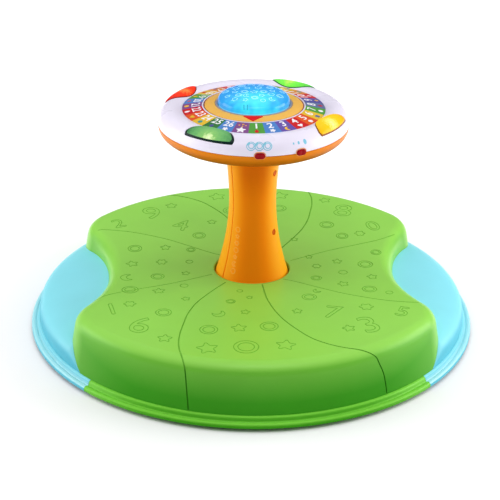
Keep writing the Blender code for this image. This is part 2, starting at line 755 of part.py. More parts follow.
def make_seat_shell():
    rings = [level_ring(seat_outline(0), SHELL_FOOT_Z)]
    rings += [shoulder_ring(0, turn) for turn in (0, 30, 60, 90)]
    rings += [top_ring(share, 0, SEAT_HOLE_RADIUS) for share in (0.33, 0.66, 1)]
    rings.append(hole_ring(SEAT_HOLE_RADIUS, SHELL_FOOT_Z))
    rings.append(hole_ring(SEAT_HOLE_RADIUS + WALL, SHELL_FOOT_Z))
    rings += [top_ring(share, WALL, SEAT_HOLE_RADIUS + WALL) for share in (1, 0.5, 0)]
    rings += [shoulder_ring(WALL, turn) for turn in (45, 0)]
    rings.append(level_ring(seat_outline(WALL), SHELL_FOOT_Z))
    shell = loft("seat_shell", rings, GREEN)
    add_green_rims(shell)
    for index, (side_x, side_y) in enumerate(((1, 1), (-1, 1), (-1, -1), (1, -1))):
        at = (side_x * SEAT_BOSS_X, side_y * SEAT_BOSS_Y)
        top = saddle_height(at[1]) - WALL / 2
        join(shell, cylinder(f"seat_boss_{index + 1}", BOSS_RADIUS, SHELL_FOOT_Z, top, at, segments=8))
        cut(shell, screw_hole(f"seat_pilot_{index + 1}", at))
        screw(f"seat_screw_{index + 1}", at, PLATE_Z - GAP, BOSS_SCREW_LENGTH)
    return shell


def screw_hole(name, at):
    """A hole up from under the turntable, for a screw into a boss."""
    top = PLATE_Z + BOSS_SCREW_LENGTH + WALL
    return cylinder(name, SCREW_RADIUS + GAP, 0, top, at, segments=8)


def fender_height(radius):
    """Height of a side panel: steep at the ledge, then easing up towards the waist."""
    share = max(0.0, (SEAT_RADIUS - radius) / FENDER_RUN)
    return RIM_LEDGE_Z + FENDER_RISE * share**FENDER_POWER


def fender_path():
    """The panel's outside from under the seat to the ledge, with points closer where it is steep."""
    run = SEAT_RADIUS - WAIST_HALF_WIDTH + WALL_DRAFT + SHOULDER_RADIUS
    steps = 8
    radii = [SEAT_RADIUS - run * (1 - step / steps) ** 2.5 for step in range(steps)]
    return [(radius, fender_height(radius)) for radius in radii]


def make_side_panel(name, facing):
    fender = fender_path()
    inner = fender[0][0]
    outline = fender + rim_section() + [(inner, RIM_BOTTOM_Z)]
    inside = offset(fender, WALL) + rim_hollow()[1:3]
    inside += [(BASE_RADIUS - WALL, -RIM_BOTTOM_Z), (inner, -RIM_BOTTOM_Z)]
    panel = turned(name, outline, BLUE, segments=64)
    hollow = turned(name + "_hollow", inside, segments=64)
    keep(hollow, wedge(name + "_inner_wedge", RIM_BREAK, GAP / 2 + WALL, facing))
    cut(hollow, seat_envelope(name + "_inner_envelope", GAP + WALL))
    keep(panel, wedge(name + "_wedge", RIM_BREAK, GAP / 2, facing))
    cut(panel, seat_envelope(name + "_envelope", GAP), hollow)
    edge = PLATE_RADIUS + PLATE_EDGE_GAP
    cut(panel, cylinder(name + "_underside", edge, -SHELL_FOOT_Z, SHELL_FOOT_Z, segments=64))
    at = (PANEL_BOSS_AT * math.cos(math.radians(facing)), 0)
    top = fender_height(PANEL_BOSS_AT) - WALL / 2
    join(panel, cylinder(name + "_boss", BOSS_RADIUS, SHELL_FOOT_Z, top, at, segments=8))
    cut(panel, screw_hole(name + "_pilot", at))
    screw(name + "_screw", at, PLATE_Z - GAP, BOSS_SCREW_LENGTH)


# Turntable plate with its hub, bush and rollers


def make_turntable():
    hub_out = HUB_BORE + HUB_WALL
    outline = [
        (hub_out, HUB_TOP_Z),
        (hub_out, PLATE_TOP_Z),
        (PLATE_RADIUS, PLATE_TOP_Z),
        (PLATE_RADIUS, PLATE_Z),
        (HUB_BORE, PLATE_Z),
        (HUB_BORE, HUB_TOP_Z),
    ]
    plate = turned("turntable_plate", outline, GREY, segments=48)
    bush_out = HUB_BORE - GAP
    flange_top = BUSH_Z + BUSH_FLANGE_THICK
    bush = [
        (bush_out, HUB_TOP_Z),
        (bush_out, flange_top),
        (BUSH_FLANGE_RADIUS, flange_top),
        (BUSH_FLANGE_RADIUS, BUSH_Z),
        (POST_RADIUS + GAP, BUSH_Z),
        (POST_RADIUS + GAP, HUB_TOP_Z),
    ]
    turned("hub_bush", bush, NYLON, segments=24)
    for index in range(ROLLER_COUNT):
        add_roller(plate, index + 1, math.radians((index + 0.5) * 360 / ROLLER_COUNT))
    for side_x in (1, -1):
        for side_y in (1, -1):
            at = (side_x * SEAT_BOSS_X, side_y * SEAT_BOSS_Y)
            cut(plate, screw_hole(f"plate_hole_{side_x}_{side_y}", at))
        cut(plate, screw_hole(f"plate_side_hole_{side_x}", (side_x * PANEL_BOSS_AT, 0)))


def add_roller(plate, number, angle):
    """A roller with its own journals, its window in the plate and the two ears that hold it."""
    half = ROLLER_WIDTH / 2
    ear_in = half + ROLLER_SIDE_GAP
    journal_end = ear_in + EAR_THICK
    ease = 1 * MM
    outline = [
        (0, journal_end),
        (JOURNAL_RADIUS, journal_end),
        (JOURNAL_RADIUS, half),
        (ROLLER_RADIUS - ease, half),
        (ROLLER_RADIUS, half - ease),
        (ROLLER_RADIUS, ease - half),
        (ROLLER_RADIUS - ease, -half),
        (JOURNAL_RADIUS, -half),
        (JOURNAL_RADIUS, -journal_end),
        (0, -journal_end),
    ]
    roller = turned(f"roller_{number}", outline, NYLON, segments=12)
    lie_along(roller, angle, ROLLER_CIRCLE, AXLE_Z)
    chord = math.sqrt(ROLLER_RADIUS**2 - (AXLE_Z - PLATE_TOP_Z) ** 2) + ROLLER_SIDE_GAP
    low = (ROLLER_CIRCLE - ear_in, -chord, PLATE_Z - WALL)
    high = (ROLLER_CIRCLE + ear_in, chord, PLATE_TOP_Z + WALL)
    cut(plate, turn_about_z(box(f"window_{number}", low, high), angle))
    for side in (-1, 1):
        near, far = sorted((side * ear_in, side * journal_end))
        low = (ROLLER_CIRCLE + near, -EAR_LENGTH / 2, PLATE_TOP_Z - WALL / 2)
        high = (ROLLER_CIRCLE + far, EAR_LENGTH / 2, AXLE_Z + EAR_RISE)
        join(plate, turn_about_z(box(f"ear_{number}_{side}", low, high), angle))
    bore = cylinder(f"ear_bore_{number}", JOURNAL_RADIUS + GAP, -2 * half, 2 * half, segments=8)
    cut(plate, lie_along(bore, angle, ROLLER_CIRCLE, AXLE_Z))
    mouth = JOURNAL_RADIUS - GAP
    low = (ROLLER_CIRCLE - 2 * half, -mouth, AXLE_Z)
    high = (ROLLER_CIRCLE + 2 * half, mouth, AXLE_Z + 2 * EAR_RISE)
    cut(plate, turn_about_z(box(f"ear_mouth_{number}", low, high), angle))


# Wheel head, built facing -Y and turned by its frame

HEAD = bpy.data.objects.new("head_frame", None)
PARTS.objects.link(HEAD)
HEAD.rotation_euler.z = HEAD_YAW


def in_head(*pieces):
    """Puts pieces in the head's frame, where they keep their own places."""
    for piece in pieces:
        piece.parent = HEAD
    return pieces[0]


def bowl_path():
    """The orange bowl's outside, from the seam down to the neck's foot."""
    span = HEAD_RADIUS - NECK_RADIUS
    last = math.acos((NECK_FLARE / span) ** (BOWL_POWER / 2))
    steps = 6
    path = []
    for step in range(steps + 1):
        turn = last * step / steps
        radius = NECK_RADIUS + span * math.cos(turn) ** (2 / BOWL_POWER)
        path.append((radius, HEAD_SEAM_Z - BOWL_DEPTH * math.sin(turn) ** (2 / BOWL_POWER)))
    drop = path[-1][1] - NECK_Z
    for turn in (60, 30, 0):
        flare = NECK_FLARE * (1 - math.cos(math.radians(turn)))
        path.append((NECK_RADIUS + flare, NECK_Z + drop * math.sin(math.radians(turn))))
    return path


def make_lower_housing():
    outside = bowl_path()
    floor_z = NECK_Z + WALL
    bore = POST_NECK_RADIUS + GAP
    outline = outside + [(bore, NECK_Z), (bore, COLLAR_TOP_Z)]
    outline += [(bore + WALL, COLLAR_TOP_Z), (bore + WALL, floor_z), (NECK_RADIUS - WALL, floor_z)]
    outline += list(reversed(offset(outside, WALL)[1:-1]))
    outline.append((HEAD_RADIUS - WALL, HEAD_SEAM_Z))
    housing = in_head(turned("head_lower_housing", outline, ORANGE, segments=36))
    bowl_floor = HEAD_SEAM_Z - BOWL_DEPTH + WALL / 2
    speaker_seat = [
        (SPEAKER_RADIUS, SPEAKER_Z - GAP),
        (SPEAKER_RADIUS, bowl_floor),
        (SPEAKER_RADIUS - WALL, bowl_floor),
        (SPEAKER_RADIUS - WALL, SPEAKER_Z - GAP),
    ]
    seat_ring = in_head(turned("speaker_seat", speaker_seat, segments=20))
    seat_ring.location.y = -SPEAKER_AT
    join(housing, seat_ring)
    for angle in (-30, 30, 150, -150):
        at = polar(BOARD_POST_CIRCLE, math.radians(angle))
        height = (bowl_floor, BOARD_Z - GAP)
        board_post = cylinder(f"board_post_{angle}", BOARD_POST_RADIUS, *height, at, segments=6)
        join(housing, in_head(board_post))
    for place, angle in HEAD_SCREW_ANGLES.items():
        add_head_screw(housing, place, math.radians(angle))
    for slot in range(-2, 3):
        half = math.sqrt(1 - (slot / 3) ** 2) * (SPEAKER_RADIUS - 2 * WALL)
        across = slot * 2 * WALL
        low = (-half, across - SPEAKER_AT - WALL / 3, NECK_Z)
        high = (half, across - SPEAKER_AT + WALL / 3, SPEAKER_Z - SPEAKER_SEAT_HEIGHT / 2)
        cut(housing, in_head(box(f"grille_slot_{slot + 3}", low, high)))
    return housing


def head_boss(name, low, high, angle):
    return in_head(cylinder(name, HEAD_BOSS_RADIUS, low, high, polar(HEAD_SCREW_CIRCLE, angle), segments=10))


def add_head_screw(housing, place, angle):
    """A screw from below, with its boss, recess and hole in the lower housing."""
    at = polar(HEAD_SCREW_CIRCLE, angle)
    seat = HEAD_SEAM_Z - HEAD_SCREW_SEAT
    wide = SCREW_HEAD_RADIUS + GAP
    join(housing, head_boss(f"lower_boss_{place}", seat - WALL, HEAD_SEAM_Z, angle))
    recess = in_head(cylinder(f"head_recess_{place}", wide, NECK_Z, seat, at, segments=10))
    hole = in_head(cylinder(f"head_hole_{place}", SCREW_RADIUS + GAP, seat - WALL, CROWN_Z, at, segments=8))
    cut(housing, recess, hole)
    in_head(screw(f"head_screw_{place}", at, seat - GAP, HEAD_SCREW_LENGTH))


def crown_path(first_radius, last_turn):
    """The white crown's outside, from a radius on its inner slope over the top to a turn of its outer arc."""
    low = (CROWN_CENTRE, CROWN_TOP_Z - CROWN_INNER_RADIUS)
    start = math.degrees(math.acos((first_radius - low[0]) / CROWN_INNER_RADIUS))
    rise = arc(low, CROWN_INNER_RADIUS, start, 90, 2)
    return rise[:-1] + arc((CROWN_CENTRE, CROWN_Z), CROWN_RADIUS, 90, last_turn, 5)


def crown_height(radius):
    """Height of the crown's outside over a radius inside its top line."""
    run = CROWN_CENTRE - radius
    return CROWN_TOP_Z - CROWN_INNER_RADIUS + math.sqrt(CROWN_INNER_RADIUS**2 - run**2)


def make_top_shell():
    edge_z = HEAD_SEAM_Z + GAP
    lip_z = DECK_INNER_Z + DIAL_LIP_HEIGHT
    well = DIAL_RADIUS + GAP
    bush_hole = DIAL_SHAFT_RADIUS + GAP + DIAL_BUSH_WALL + GAP
    outline = [
        (bush_hole, WELL_Z),
        (well, WELL_Z),
        (well, lip_z),
        (LABEL_INNER, lip_z),
        (LABEL_INNER, DECK_INNER_Z),
        (LABEL_OUTER, DECK_OUTER_Z),
    ]
    outline += crown_path(LABEL_OUTER, 0)
    outline += [(HEAD_RADIUS, edge_z), (HEAD_RADIUS - WALL, edge_z)]
    outline += arc((CROWN_CENTRE, CROWN_Z), CROWN_RADIUS - WALL, 0, 90, 4)
    outline += [
        (LABEL_OUTER, DECK_OUTER_Z - WALL),
        (well, WELL_Z - WALL),
        (bush_hole, WELL_Z - WALL),
    ]
    shell = in_head(turned("head_top_shell", outline, WHITE, segments=36))
    for place, angle in HEAD_SCREW_ANGLES.items():
        turn = math.radians(angle)
        inner_z = CROWN_Z + math.sqrt((CROWN_RADIUS - WALL) ** 2 - (HEAD_SCREW_CIRCLE - CROWN_CENTRE) ** 2)
        join(shell, head_boss(f"upper_boss_{place}", edge_z, inner_z + WALL / 2, turn))
        at = polar(HEAD_SCREW_CIRCLE, turn)
        top = HEAD_SEAM_Z - HEAD_SCREW_SEAT + HEAD_SCREW_LENGTH + GAP
        pilot = cylinder(f"upper_pilot_{place}", SCREW_RADIUS + GAP, HEAD_SEAM_Z - WALL, top, at, segments=8)
        cut(shell, in_head(pilot))
    return shell


def make_dial():
    """The bush in the shell and everything that turns in it."""
    bush_out = DIAL_SHAFT_RADIUS + GAP + DIAL_BUSH_WALL
    flange_z = WELL_Z + GAP
    flange_top = flange_z + DIAL_BUSH_FLANGE_THICK
    bore = DIAL_SHAFT_RADIUS + GAP
    bush = [
        (bush_out + DIAL_BUSH_FLANGE, flange_top),
        (bush_out + DIAL_BUSH_FLANGE, flange_z),
        (bush_out, flange_z),
        (bush_out, WELL_Z - DIAL_BUSH_LENGTH),
        (bore, WELL_Z - DIAL_BUSH_LENGTH),
        (bore, flange_top),
    ]
    turned("dial_bush", bush, NYLON, segments=24)
    disc_top = DISC_Z + DIAL_DISC_THICK
    hub = [
        (0, disc_top),
        (DIAL_RADIUS, disc_top),
        (DIAL_RADIUS, DISC_Z),
        (DIAL_SHAFT_RADIUS, DISC_Z),
        (DIAL_SHAFT_RADIUS, DISC_Z - DIAL_SHAFT_LENGTH),
        (0, DISC_Z - DIAL_SHAFT_LENGTH),
    ]
    turned("dial_hub", hub, GREY, segments=36)
    ring_top = RING_Z + POINTER_RING_THICK
    ring_in = DOME_RADIUS + GAP
    ring = [
        (DIAL_RADIUS, ring_top),
        (DIAL_RADIUS, RING_Z),
        (ring_in, RING_Z),
        (ring_in, ring_top),
    ]
    turned("pointer_ring", ring, AMBER, segments=36)
    arrow_root = ring_in + ARROW_THICK
    arrow_tip = DIAL_RADIUS - ARROW_THICK
    points = [(arrow_root, -ARROW_HALF_WIDTH), (arrow_tip, 0), (arrow_root, ARROW_HALF_WIDTH)]
    arrow_z = ring_top + GAP
    arrow = slab("pointer_arrow", points, arrow_z, arrow_z + ARROW_THICK, RED)
    arrow.rotation_euler.z = ARROW_ANGLE + HEAD_YAW
    skirt_top = RING_Z + DOME_SKIRT
    outside = flat_round(DOME_RADIUS, DOME_RISE, skirt_top, 6)
    inside = list(reversed(flat_round(DOME_RADIUS - DOME_WALL, DOME_RISE - DOME_WALL, skirt_top, 5)))
    dome = outside + [(DOME_RADIUS, RING_Z), (DOME_RADIUS - DOME_WALL, RING_Z)] + inside
    turned("dome_lens", dome, DOME_BLUE, segments=28)


def make_label_ring():
    low_out = DECK_OUTER_Z + GAP
    low_in = DECK_INNER_Z + GAP
    outline = [
        (LABEL_OUTER - GAP, low_out + LABEL_THICK),
        (LABEL_OUTER - GAP, low_out),
        (LABEL_INNER + GAP, low_in),
        (LABEL_INNER + GAP, low_in + LABEL_THICK),
    ]
    in_head(turned("label_ring", outline, LABEL, segments=36))


def leaf_outline(growth):
    """A button's outline in plan, on +X: the rim's circle outside and a tighter arc inside."""
    outer = HEAD_RADIUS - BUTTON_EDGE
    centre = outer - BUTTON_DEPTH + BUTTON_INNER_ARC
    meet_x = (outer**2 - BUTTON_INNER_ARC**2 + centre**2) / (2 * centre)
    outer_turn = math.degrees(math.acos(meet_x / outer))
    inner_turn = math.degrees(math.acos((meet_x - centre) / BUTTON_INNER_ARC))
    blunt = 0.93
    front = arc((0, 0), outer + growth, -outer_turn * blunt, outer_turn * blunt, 6)
    inner_turn += (180 - inner_turn) * (1 - blunt)
    inner_arc = (BUTTON_INNER_ARC + growth, inner_turn, 360 - inner_turn, 6)
    return front + arc((centre, 0), *inner_arc)


def make_button(shell, place, angle, material):
    """A leaf-shaped cap that follows the crown, with a stem down to its key pad."""
    turn = math.radians(angle)
    path = crown_path(LABEL_OUTER - WALL, 15)
    outline = offset(path, -BUTTON_PROUD) + list(reversed(offset(path, BUTTON_THICK - BUTTON_PROUD)))
    stem_at = polar(HEAD_RADIUS - STEM_INSET, turn)
    frame = bpy.data.objects.new(f"button_frame_{place}", None)
    PARTS.objects.link(frame)
    in_head(frame)
    frame.location = (*stem_at, 0)
    cap = turned(f"button_{place}", outline, material, segments=36)
    leaf = slab(f"leaf_{place}", leaf_outline(0), HEAD_SEAM_Z, CROWN_TOP_Z + CROWN_RADIUS)
    leaf.rotation_euler.z = turn
    stem_top = crown_height(HEAD_RADIUS - STEM_INSET) - BUTTON_THICK / 2
    stem_foot = KEY_TOP_Z + BUTTON_TRAVEL + GAP
    stem = cylinder(f"stem_{place}", STEM_RADIUS, stem_foot, stem_top, stem_at, segments=10)
    for piece in (cap, leaf, stem):
        piece.parent = frame
        piece.location -= frame.location
    join(keep(cap, leaf), stem)
    hole = in_head(slab(f"leaf_hole_{place}", leaf_outline(GAP), CROWN_Z, CROWN_TOP_Z + CROWN_RADIUS))
    hole.rotation_euler.z = turn
    cut(shell, hole)
    pad_z = BOARD_TOP_Z + GAP
    pad = cylinder(
        f"key_pad_{place}", KEY_PAD_RADIUS, pad_z, KEY_TOP_Z, stem_at, RUBBER, 16, KEY_PAD_RADIUS * 0.7
    )
    in_head(pad)


def make_switch(housing, shell, place, side):
    """A slide switch under the board's edge, with the knob that works it through a slot at the seam."""
    turn = math.radians(-90) + side * SWITCH_OFFSET
    height = HEAD_SEAM_Z + SWITCH_Z
    cap_in = HEAD_RADIUS + GAP
    body_out = HEAD_RADIUS - SWITCH_INSET
    shape = Matrix.Diagonal((KNOB_HEIGHT / 2, KNOB_LENGTH / 2, KNOB_THICK, 1))
    bm = bmesh.new()
    bmesh.ops.create_cone(bm, cap_ends=True, segments=20, radius1=1, radius2=0.9, depth=1, matrix=shape)
    knob = add(f"{place}_knob", mesh_from(f"{place}_knob", bm), KNOB_RED)
    in_head(lie_along(knob, turn, cap_in + KNOB_THICK / 2, height))
    half = KNOB_STEM / 2
    stem_end = cap_in + KNOB_THICK / 2
    stem = box(f"{place}_stem", (body_out + GAP, -half, height - half), (stem_end, half, height + half))
    join(knob, in_head(turn_about_z(stem, turn)))
    room = half + SWITCH_TRAVEL + 2 * GAP
    tall = half + 2 * GAP
    low = (HEAD_RADIUS - 2 * WALL, -room, height - tall)
    slot = box(f"{place}_slot", low, (HEAD_RADIUS + WALL, room, height + tall))
    in_head(turn_about_z(slot, turn))
    cut(housing, slot)
    cut(shell, slot)
    top = BOARD_Z - GAP
    low = (body_out - SWITCH_BODY.x, -SWITCH_BODY.y / 2, top - SWITCH_BODY.z)
    body = box(f"{place}_switch_body", low, (body_out, SWITCH_BODY.y / 2, top), GREY)
    in_head(turn_about_z(body, turn))


def make_board_and_speaker():
    top = BOARD_TOP_Z
    board = [
        (BOARD_RADIUS, top),
        (BOARD_RADIUS, BOARD_Z),
        (BOARD_HOLE_RADIUS, BOARD_Z),
        (BOARD_HOLE_RADIUS, top),
    ]
    in_head(turned("circuit_board", board, BOARD_GREEN, segments=32))
    magnet = SPEAKER_RADIUS * 0.5
    frame_z = SPEAKER_Z + SPEAKER_THICK * 0.3
    outline = [
        (0, SPEAKER_Z + SPEAKER_THICK),
        (magnet, SPEAKER_Z + SPEAKER_THICK),
        (magnet, SPEAKER_Z + SPEAKER_THICK * 0.6),
        (SPEAKER_RADIUS, frame_z),
        (SPEAKER_RADIUS, SPEAKER_Z),
        (0, SPEAKER_Z),
    ]
    speaker = in_head(turned("speaker", outline, GREY, segments=20))
    speaker.location.y = -SPEAKER_AT


def make_battery_bay(housing):
    """The frame in the bowl's back, the box that holds the cells, the cells, the door and its screw."""
    wide = BAY_HALF_LENGTH + GAP
    deep = (BAY_START - GAP, BAY_END + GAP)
    middle = (BAY_START + BAY_END) / 2
    frame_top = BAY_Z + BAY_FRAME_HEIGHT
    low = (-wide - WALL, deep[0] - WALL, DOOR_Z)
    join(housing, in_head(box("bay_frame", low, (wide + WALL, deep[1] + WALL, frame_top))))
    tab_end = BAY_HALF_LENGTH + DOOR_TAB_LENGTH
    tab_half = DOOR_TAB_HALF + GAP
    low = (wide, middle - tab_half - WALL, DOOR_Z)
    high = (tab_end + GAP + WALL, middle + tab_half + WALL, BAY_Z + DOOR_BOSS_HEIGHT)
    join(housing, in_head(box("tab_frame", low, high)))
    cut(housing, in_head(box("bay_opening", (-wide, deep[0], NECK_Z), (wide, deep[1], BOARD_Z))))
    low = (wide - WALL, middle - tab_half, NECK_Z)
    cut(housing, in_head(box("tab_opening", low, (tab_end + GAP, middle + tab_half, BAY_Z))))
    screw_at = (BAY_HALF_LENGTH + DOOR_TAB_LENGTH / 2, middle)
    hole_top = BAY_Z + DOOR_BOSS_HEIGHT - WALL
    bore = (SCREW_RADIUS + GAP, DOOR_Z - WALL, hole_top)
    pilot = in_head(cylinder("door_pilot", *bore, screw_at, segments=8))
    cut(housing, pilot)
    low = (-BAY_HALF_LENGTH, BAY_START, DOOR_Z)
    door = box("battery_door", low, (BAY_HALF_LENGTH, BAY_END, DOOR_Z + DOOR_THICK), ORANGE)
    low = (BAY_HALF_LENGTH - WALL, middle - DOOR_TAB_HALF, DOOR_Z)
    tab = box("door_tab", low, (tab_end, middle + DOOR_TAB_HALF, DOOR_Z + DOOR_THICK))
    in_head(door, tab)
    cut(join(door, tab), pilot)
    in_head(screw("battery_door_screw", screw_at, DOOR_Z - GAP, DOOR_BOSS_HEIGHT))
    low = (-BAY_HALF_LENGTH, BAY_START, BAY_Z)
    tray = box("battery_box", low, (BAY_HALF_LENGTH, BAY_END, BAY_TOP_Z), GREY)
    low = (BAY_WALL - BAY_HALF_LENGTH, BAY_START + BAY_WALL, BAY_Z - WALL)
    high = (BAY_HALF_LENGTH - BAY_WALL, BAY_END - BAY_WALL, BAY_TOP_Z - BAY_WALL)
    cut(in_head(tray), in_head(box("battery_box_inside", low, high)))
    for index in range(CELL_COUNT):
        at = BAY_START + BAY_WALL + (index + 0.5) * CELL_PITCH
        ends = (-CELL_LENGTH / 2, CELL_LENGTH / 2)
        cell = cylinder(f"battery_cell_{index + 1}", CELL_RADIUS, *ends, (0, 0), CELL_SKIN, 12)
        cell.rotation_euler.y = math.pi / 2
        cell.location = (0, at, CELL_Z)
        in_head(cell)


def make_head():
    housing = make_lower_housing()
    shell = make_top_shell()
    make_label_ring()
    make_dial()
    colours = {
        "front_left": BUTTON_GREEN,
        "front_right": BUTTON_YELLOW,
        "back_right": BUTTON_GREEN,
        "back_left": BUTTON_RED,
    }
    for place, angle in BUTTON_ANGLES.items():
        make_button(shell, place, angle, colours[place])
    make_switch(housing, shell, "mode", -1)
    make_switch(housing, shell, "volume", 1)
    make_board_and_speaker()
    make_battery_bay(housing)


make_floor()
make_column(make_post())
make_seat_shell()
make_side_panel("side_panel_right", 0)
make_side_panel("side_panel_left", 180)
make_turntable()
make_head()
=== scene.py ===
"""Looks of a toddler spinning seat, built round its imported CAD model.

The frame is in metres, +Z up. Sizes of shapes are in millimetres, and solid() turns them into metres.
"""

import math

import bmesh
import bpy
import numpy as np
from mathutils import Matrix, Vector


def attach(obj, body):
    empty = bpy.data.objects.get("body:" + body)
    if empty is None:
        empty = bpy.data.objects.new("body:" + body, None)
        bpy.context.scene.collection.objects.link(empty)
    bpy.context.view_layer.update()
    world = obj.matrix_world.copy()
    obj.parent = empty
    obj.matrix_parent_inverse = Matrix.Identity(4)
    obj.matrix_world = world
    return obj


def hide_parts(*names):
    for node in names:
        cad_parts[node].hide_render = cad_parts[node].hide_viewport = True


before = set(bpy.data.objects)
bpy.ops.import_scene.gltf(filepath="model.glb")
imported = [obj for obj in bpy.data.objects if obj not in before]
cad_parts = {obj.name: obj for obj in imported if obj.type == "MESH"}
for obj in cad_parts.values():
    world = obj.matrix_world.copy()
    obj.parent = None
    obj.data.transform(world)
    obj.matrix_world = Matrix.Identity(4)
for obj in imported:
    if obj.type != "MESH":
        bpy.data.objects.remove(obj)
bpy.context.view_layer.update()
scene = bpy.context.scene
MM = 0.001

# Sizes of the CAD model, in millimetres and degrees

GAP = 0.3
WALL = 2.5
SEAT_RADIUS = 244.0
BASE_RADIUS = 254.0
CORNER_RADIUS = 57.6
SEAT_HALF_WIDTH = 202.7
WAIST_HALF_WIDTH = 171.6
SEAT_TOP = 67.5
SADDLE_DEPTH = 4.9
SADDLE_RUN = 130.0
SHOULDER_IN = 23.0
SHOULDER_RADIUS = 16.0
SHELL_FOOT = 13.9
HOLE_RADIUS = 43.0
HOLE_LIP = 1.6
RIM_BOTTOM = 4.6
LEDGE_Z = 14.0
BEAD_TOP = 9.6
BEAD_RADIUS = 3.4
RIM_BREAK = 43.5
PANEL_RISE = 33.0
COLUMN_LOW = 57.0
COLUMN_HIGH = 205.7
COLUMN_WAIST = 26.5
COLUMN_WAIST_Z = 153.0
COLUMN_BORE = 19.3
COLUMN_SEAM = 33.4
COLUMN_SCREWS = -34.6
YAW = 13.5
HEAD_RADIUS = 105.0
SEAM_Z = 241.0
NECK_Z = 206.0
NECK_RADIUS = 30.5
NECK_FLARE = 8.0
NECK_BORE = 17.3
NECK_INNER_TOP = 220.5
BOWL_DEPTH = 23.5
BOWL_POWER = 2.5
DOOR_LOW = (-24.75, 31.0, 219.0)
DOOR_HIGH = (24.75, 67.6, 221.0)
CROWN_CENTRE = 88.5
CROWN_Z = 243.0
CROWN_RADIUS = 16.5
CROWN_TOP = 259.5
CROWN_INNER = 20.0
CROWN_BORE = 15.6
WELL_RADIUS = 55.2
WELL_Z = 256.63
WELL_TOP = 261.33
LABEL_OUTER = 78.7
LABEL_INNER = 56.9
LABEL_DROP = 4.0 / 21.2
DECK_OUTER_Z = 255.73
DECK_INNER_Z = 259.93
DIAL_RADIUS = 54.9
RING_IN, RING_OUT = 42.6, 54.2
RING_TOP = 261.43
DOME_RADIUS = 39.4
DOME_FOOT = 259.83
DOME_SKIRT = 5.7
DOME_RISE = 12.0
DOME_POWER = 2.6
DOME_LAMP = (0, -24, 268)
KNOB_Z = 242.2
KNOB_TURNS = {"mode": -102.3, "volume": -77.7}


# Shader nodes

# Noise hardly goes below or above these values
NOISE_SPAN = (0.3, 0.7)
# The heights in metres over which sides that face the front lose half of their painted shade
SHADED_LOW_SIDES = (0.022, 0.062)


def wire(made, inputs):
    """Sets a node's inputs, each to a value or linked to an output. A colour gets its alpha here."""
    for key, value in inputs.items():
        socket = made.inputs[key]
        if isinstance(value, bpy.types.NodeSocket):
            made.id_data.links.new(value, socket)
        else:
            socket.default_value = (*value, 1.0) if socket.type == "RGBA" else value


def node(near, kind, inputs, output=0, **settings):
    """A new node in the tree of a node or output, given as one of its own outputs."""
    made = near.id_data.nodes.new("ShaderNode" + kind)
    for key, value in settings.items():
        setattr(made, key, value)
    wire(made, inputs)
    return made.outputs[output]


def noise(place, scale, detail=2.0, roughness=0.5):
    inputs = {"Vector": place, "Scale": scale, "Detail": detail, "Roughness": roughness}
    return node(place, "TexNoise", inputs)


def ranged(value, low, high, to_low=0.0, to_high=1.0, way="LINEAR"):
    """A value brought from one range to another one."""
    inputs = {"Value": value, "From Min": low, "From Max": high, "To Min": to_low, "To Max": to_high}
    return node(value, "MapRange", inputs, interpolation_type=way)


def eased(value, low, high, to_low=0.0, to_high=1.0):
    return ranged(value, low, high, to_low, to_high, "SMOOTHSTEP")


def spotted(value, to_low, to_high):
    """A noise stretched over a range."""
    return ranged(value, *NOISE_SPAN, to_low, to_high)


def ramp(value, stops):
    """A colour ramp with (place, colour) stops."""
    made = node(value, "ValToRGB", {"Fac": value})
    keys = made.node.color_ramp.elements
    while len(keys) < len(stops):
        keys.new(0.5)
    for key, (at, colour) in zip(keys, stops):
        key.position = at
        key.color = (*colour, 1.0)
    return made


def clouded(value, first, second):
    """A noise stretched between two colours."""
    return ramp(value, list(zip(NOISE_SPAN, (first, second))))


def blended(factor, first, second):
    """A mix of two colours; each is a colour or an output."""
    return node(factor, "Mix", {"Factor": factor, "A": first, "B": second}, "Result", data_type="RGBA")


def maths(operation, *values):
    return node(values[0], "Math", dict(enumerate(values)), operation=operation)


def axis(vector, name):
    return node(vector, "SeparateXYZ", {"Vector": vector}, name)


def facing(near, name):
    """One axis of the surface's normal."""
    return axis(node(near, "NewGeometry", {}, "Normal"), name)


def distance(place, point):
    """The distance in metres from a point in millimetres."""
    return node(place, "VectorMath", {0: place, 1: Vector(point) * MM}, "Value", operation="DISTANCE")


def grain(place, scale, depth):
    """Fine moulded texture as a bump's normal, with its depth in metres."""
    return node(place, "Bump", {"Strength": 1.0, "Distance": depth, "Height": noise(place, scale, 3.0)})


def shade(colour, factor):
    return tuple(min(1.0, channel * factor) for channel in colour)


# Materials


def new_material(name):
    """A node material with its Principled shader and its object coordinates."""
    material = bpy.data.materials.new(name)
    material.use_nodes = True
    shader = material.node_tree.nodes["Principled BSDF"]
    return material, shader, node(shader, "TexCoord", {}, "Object")


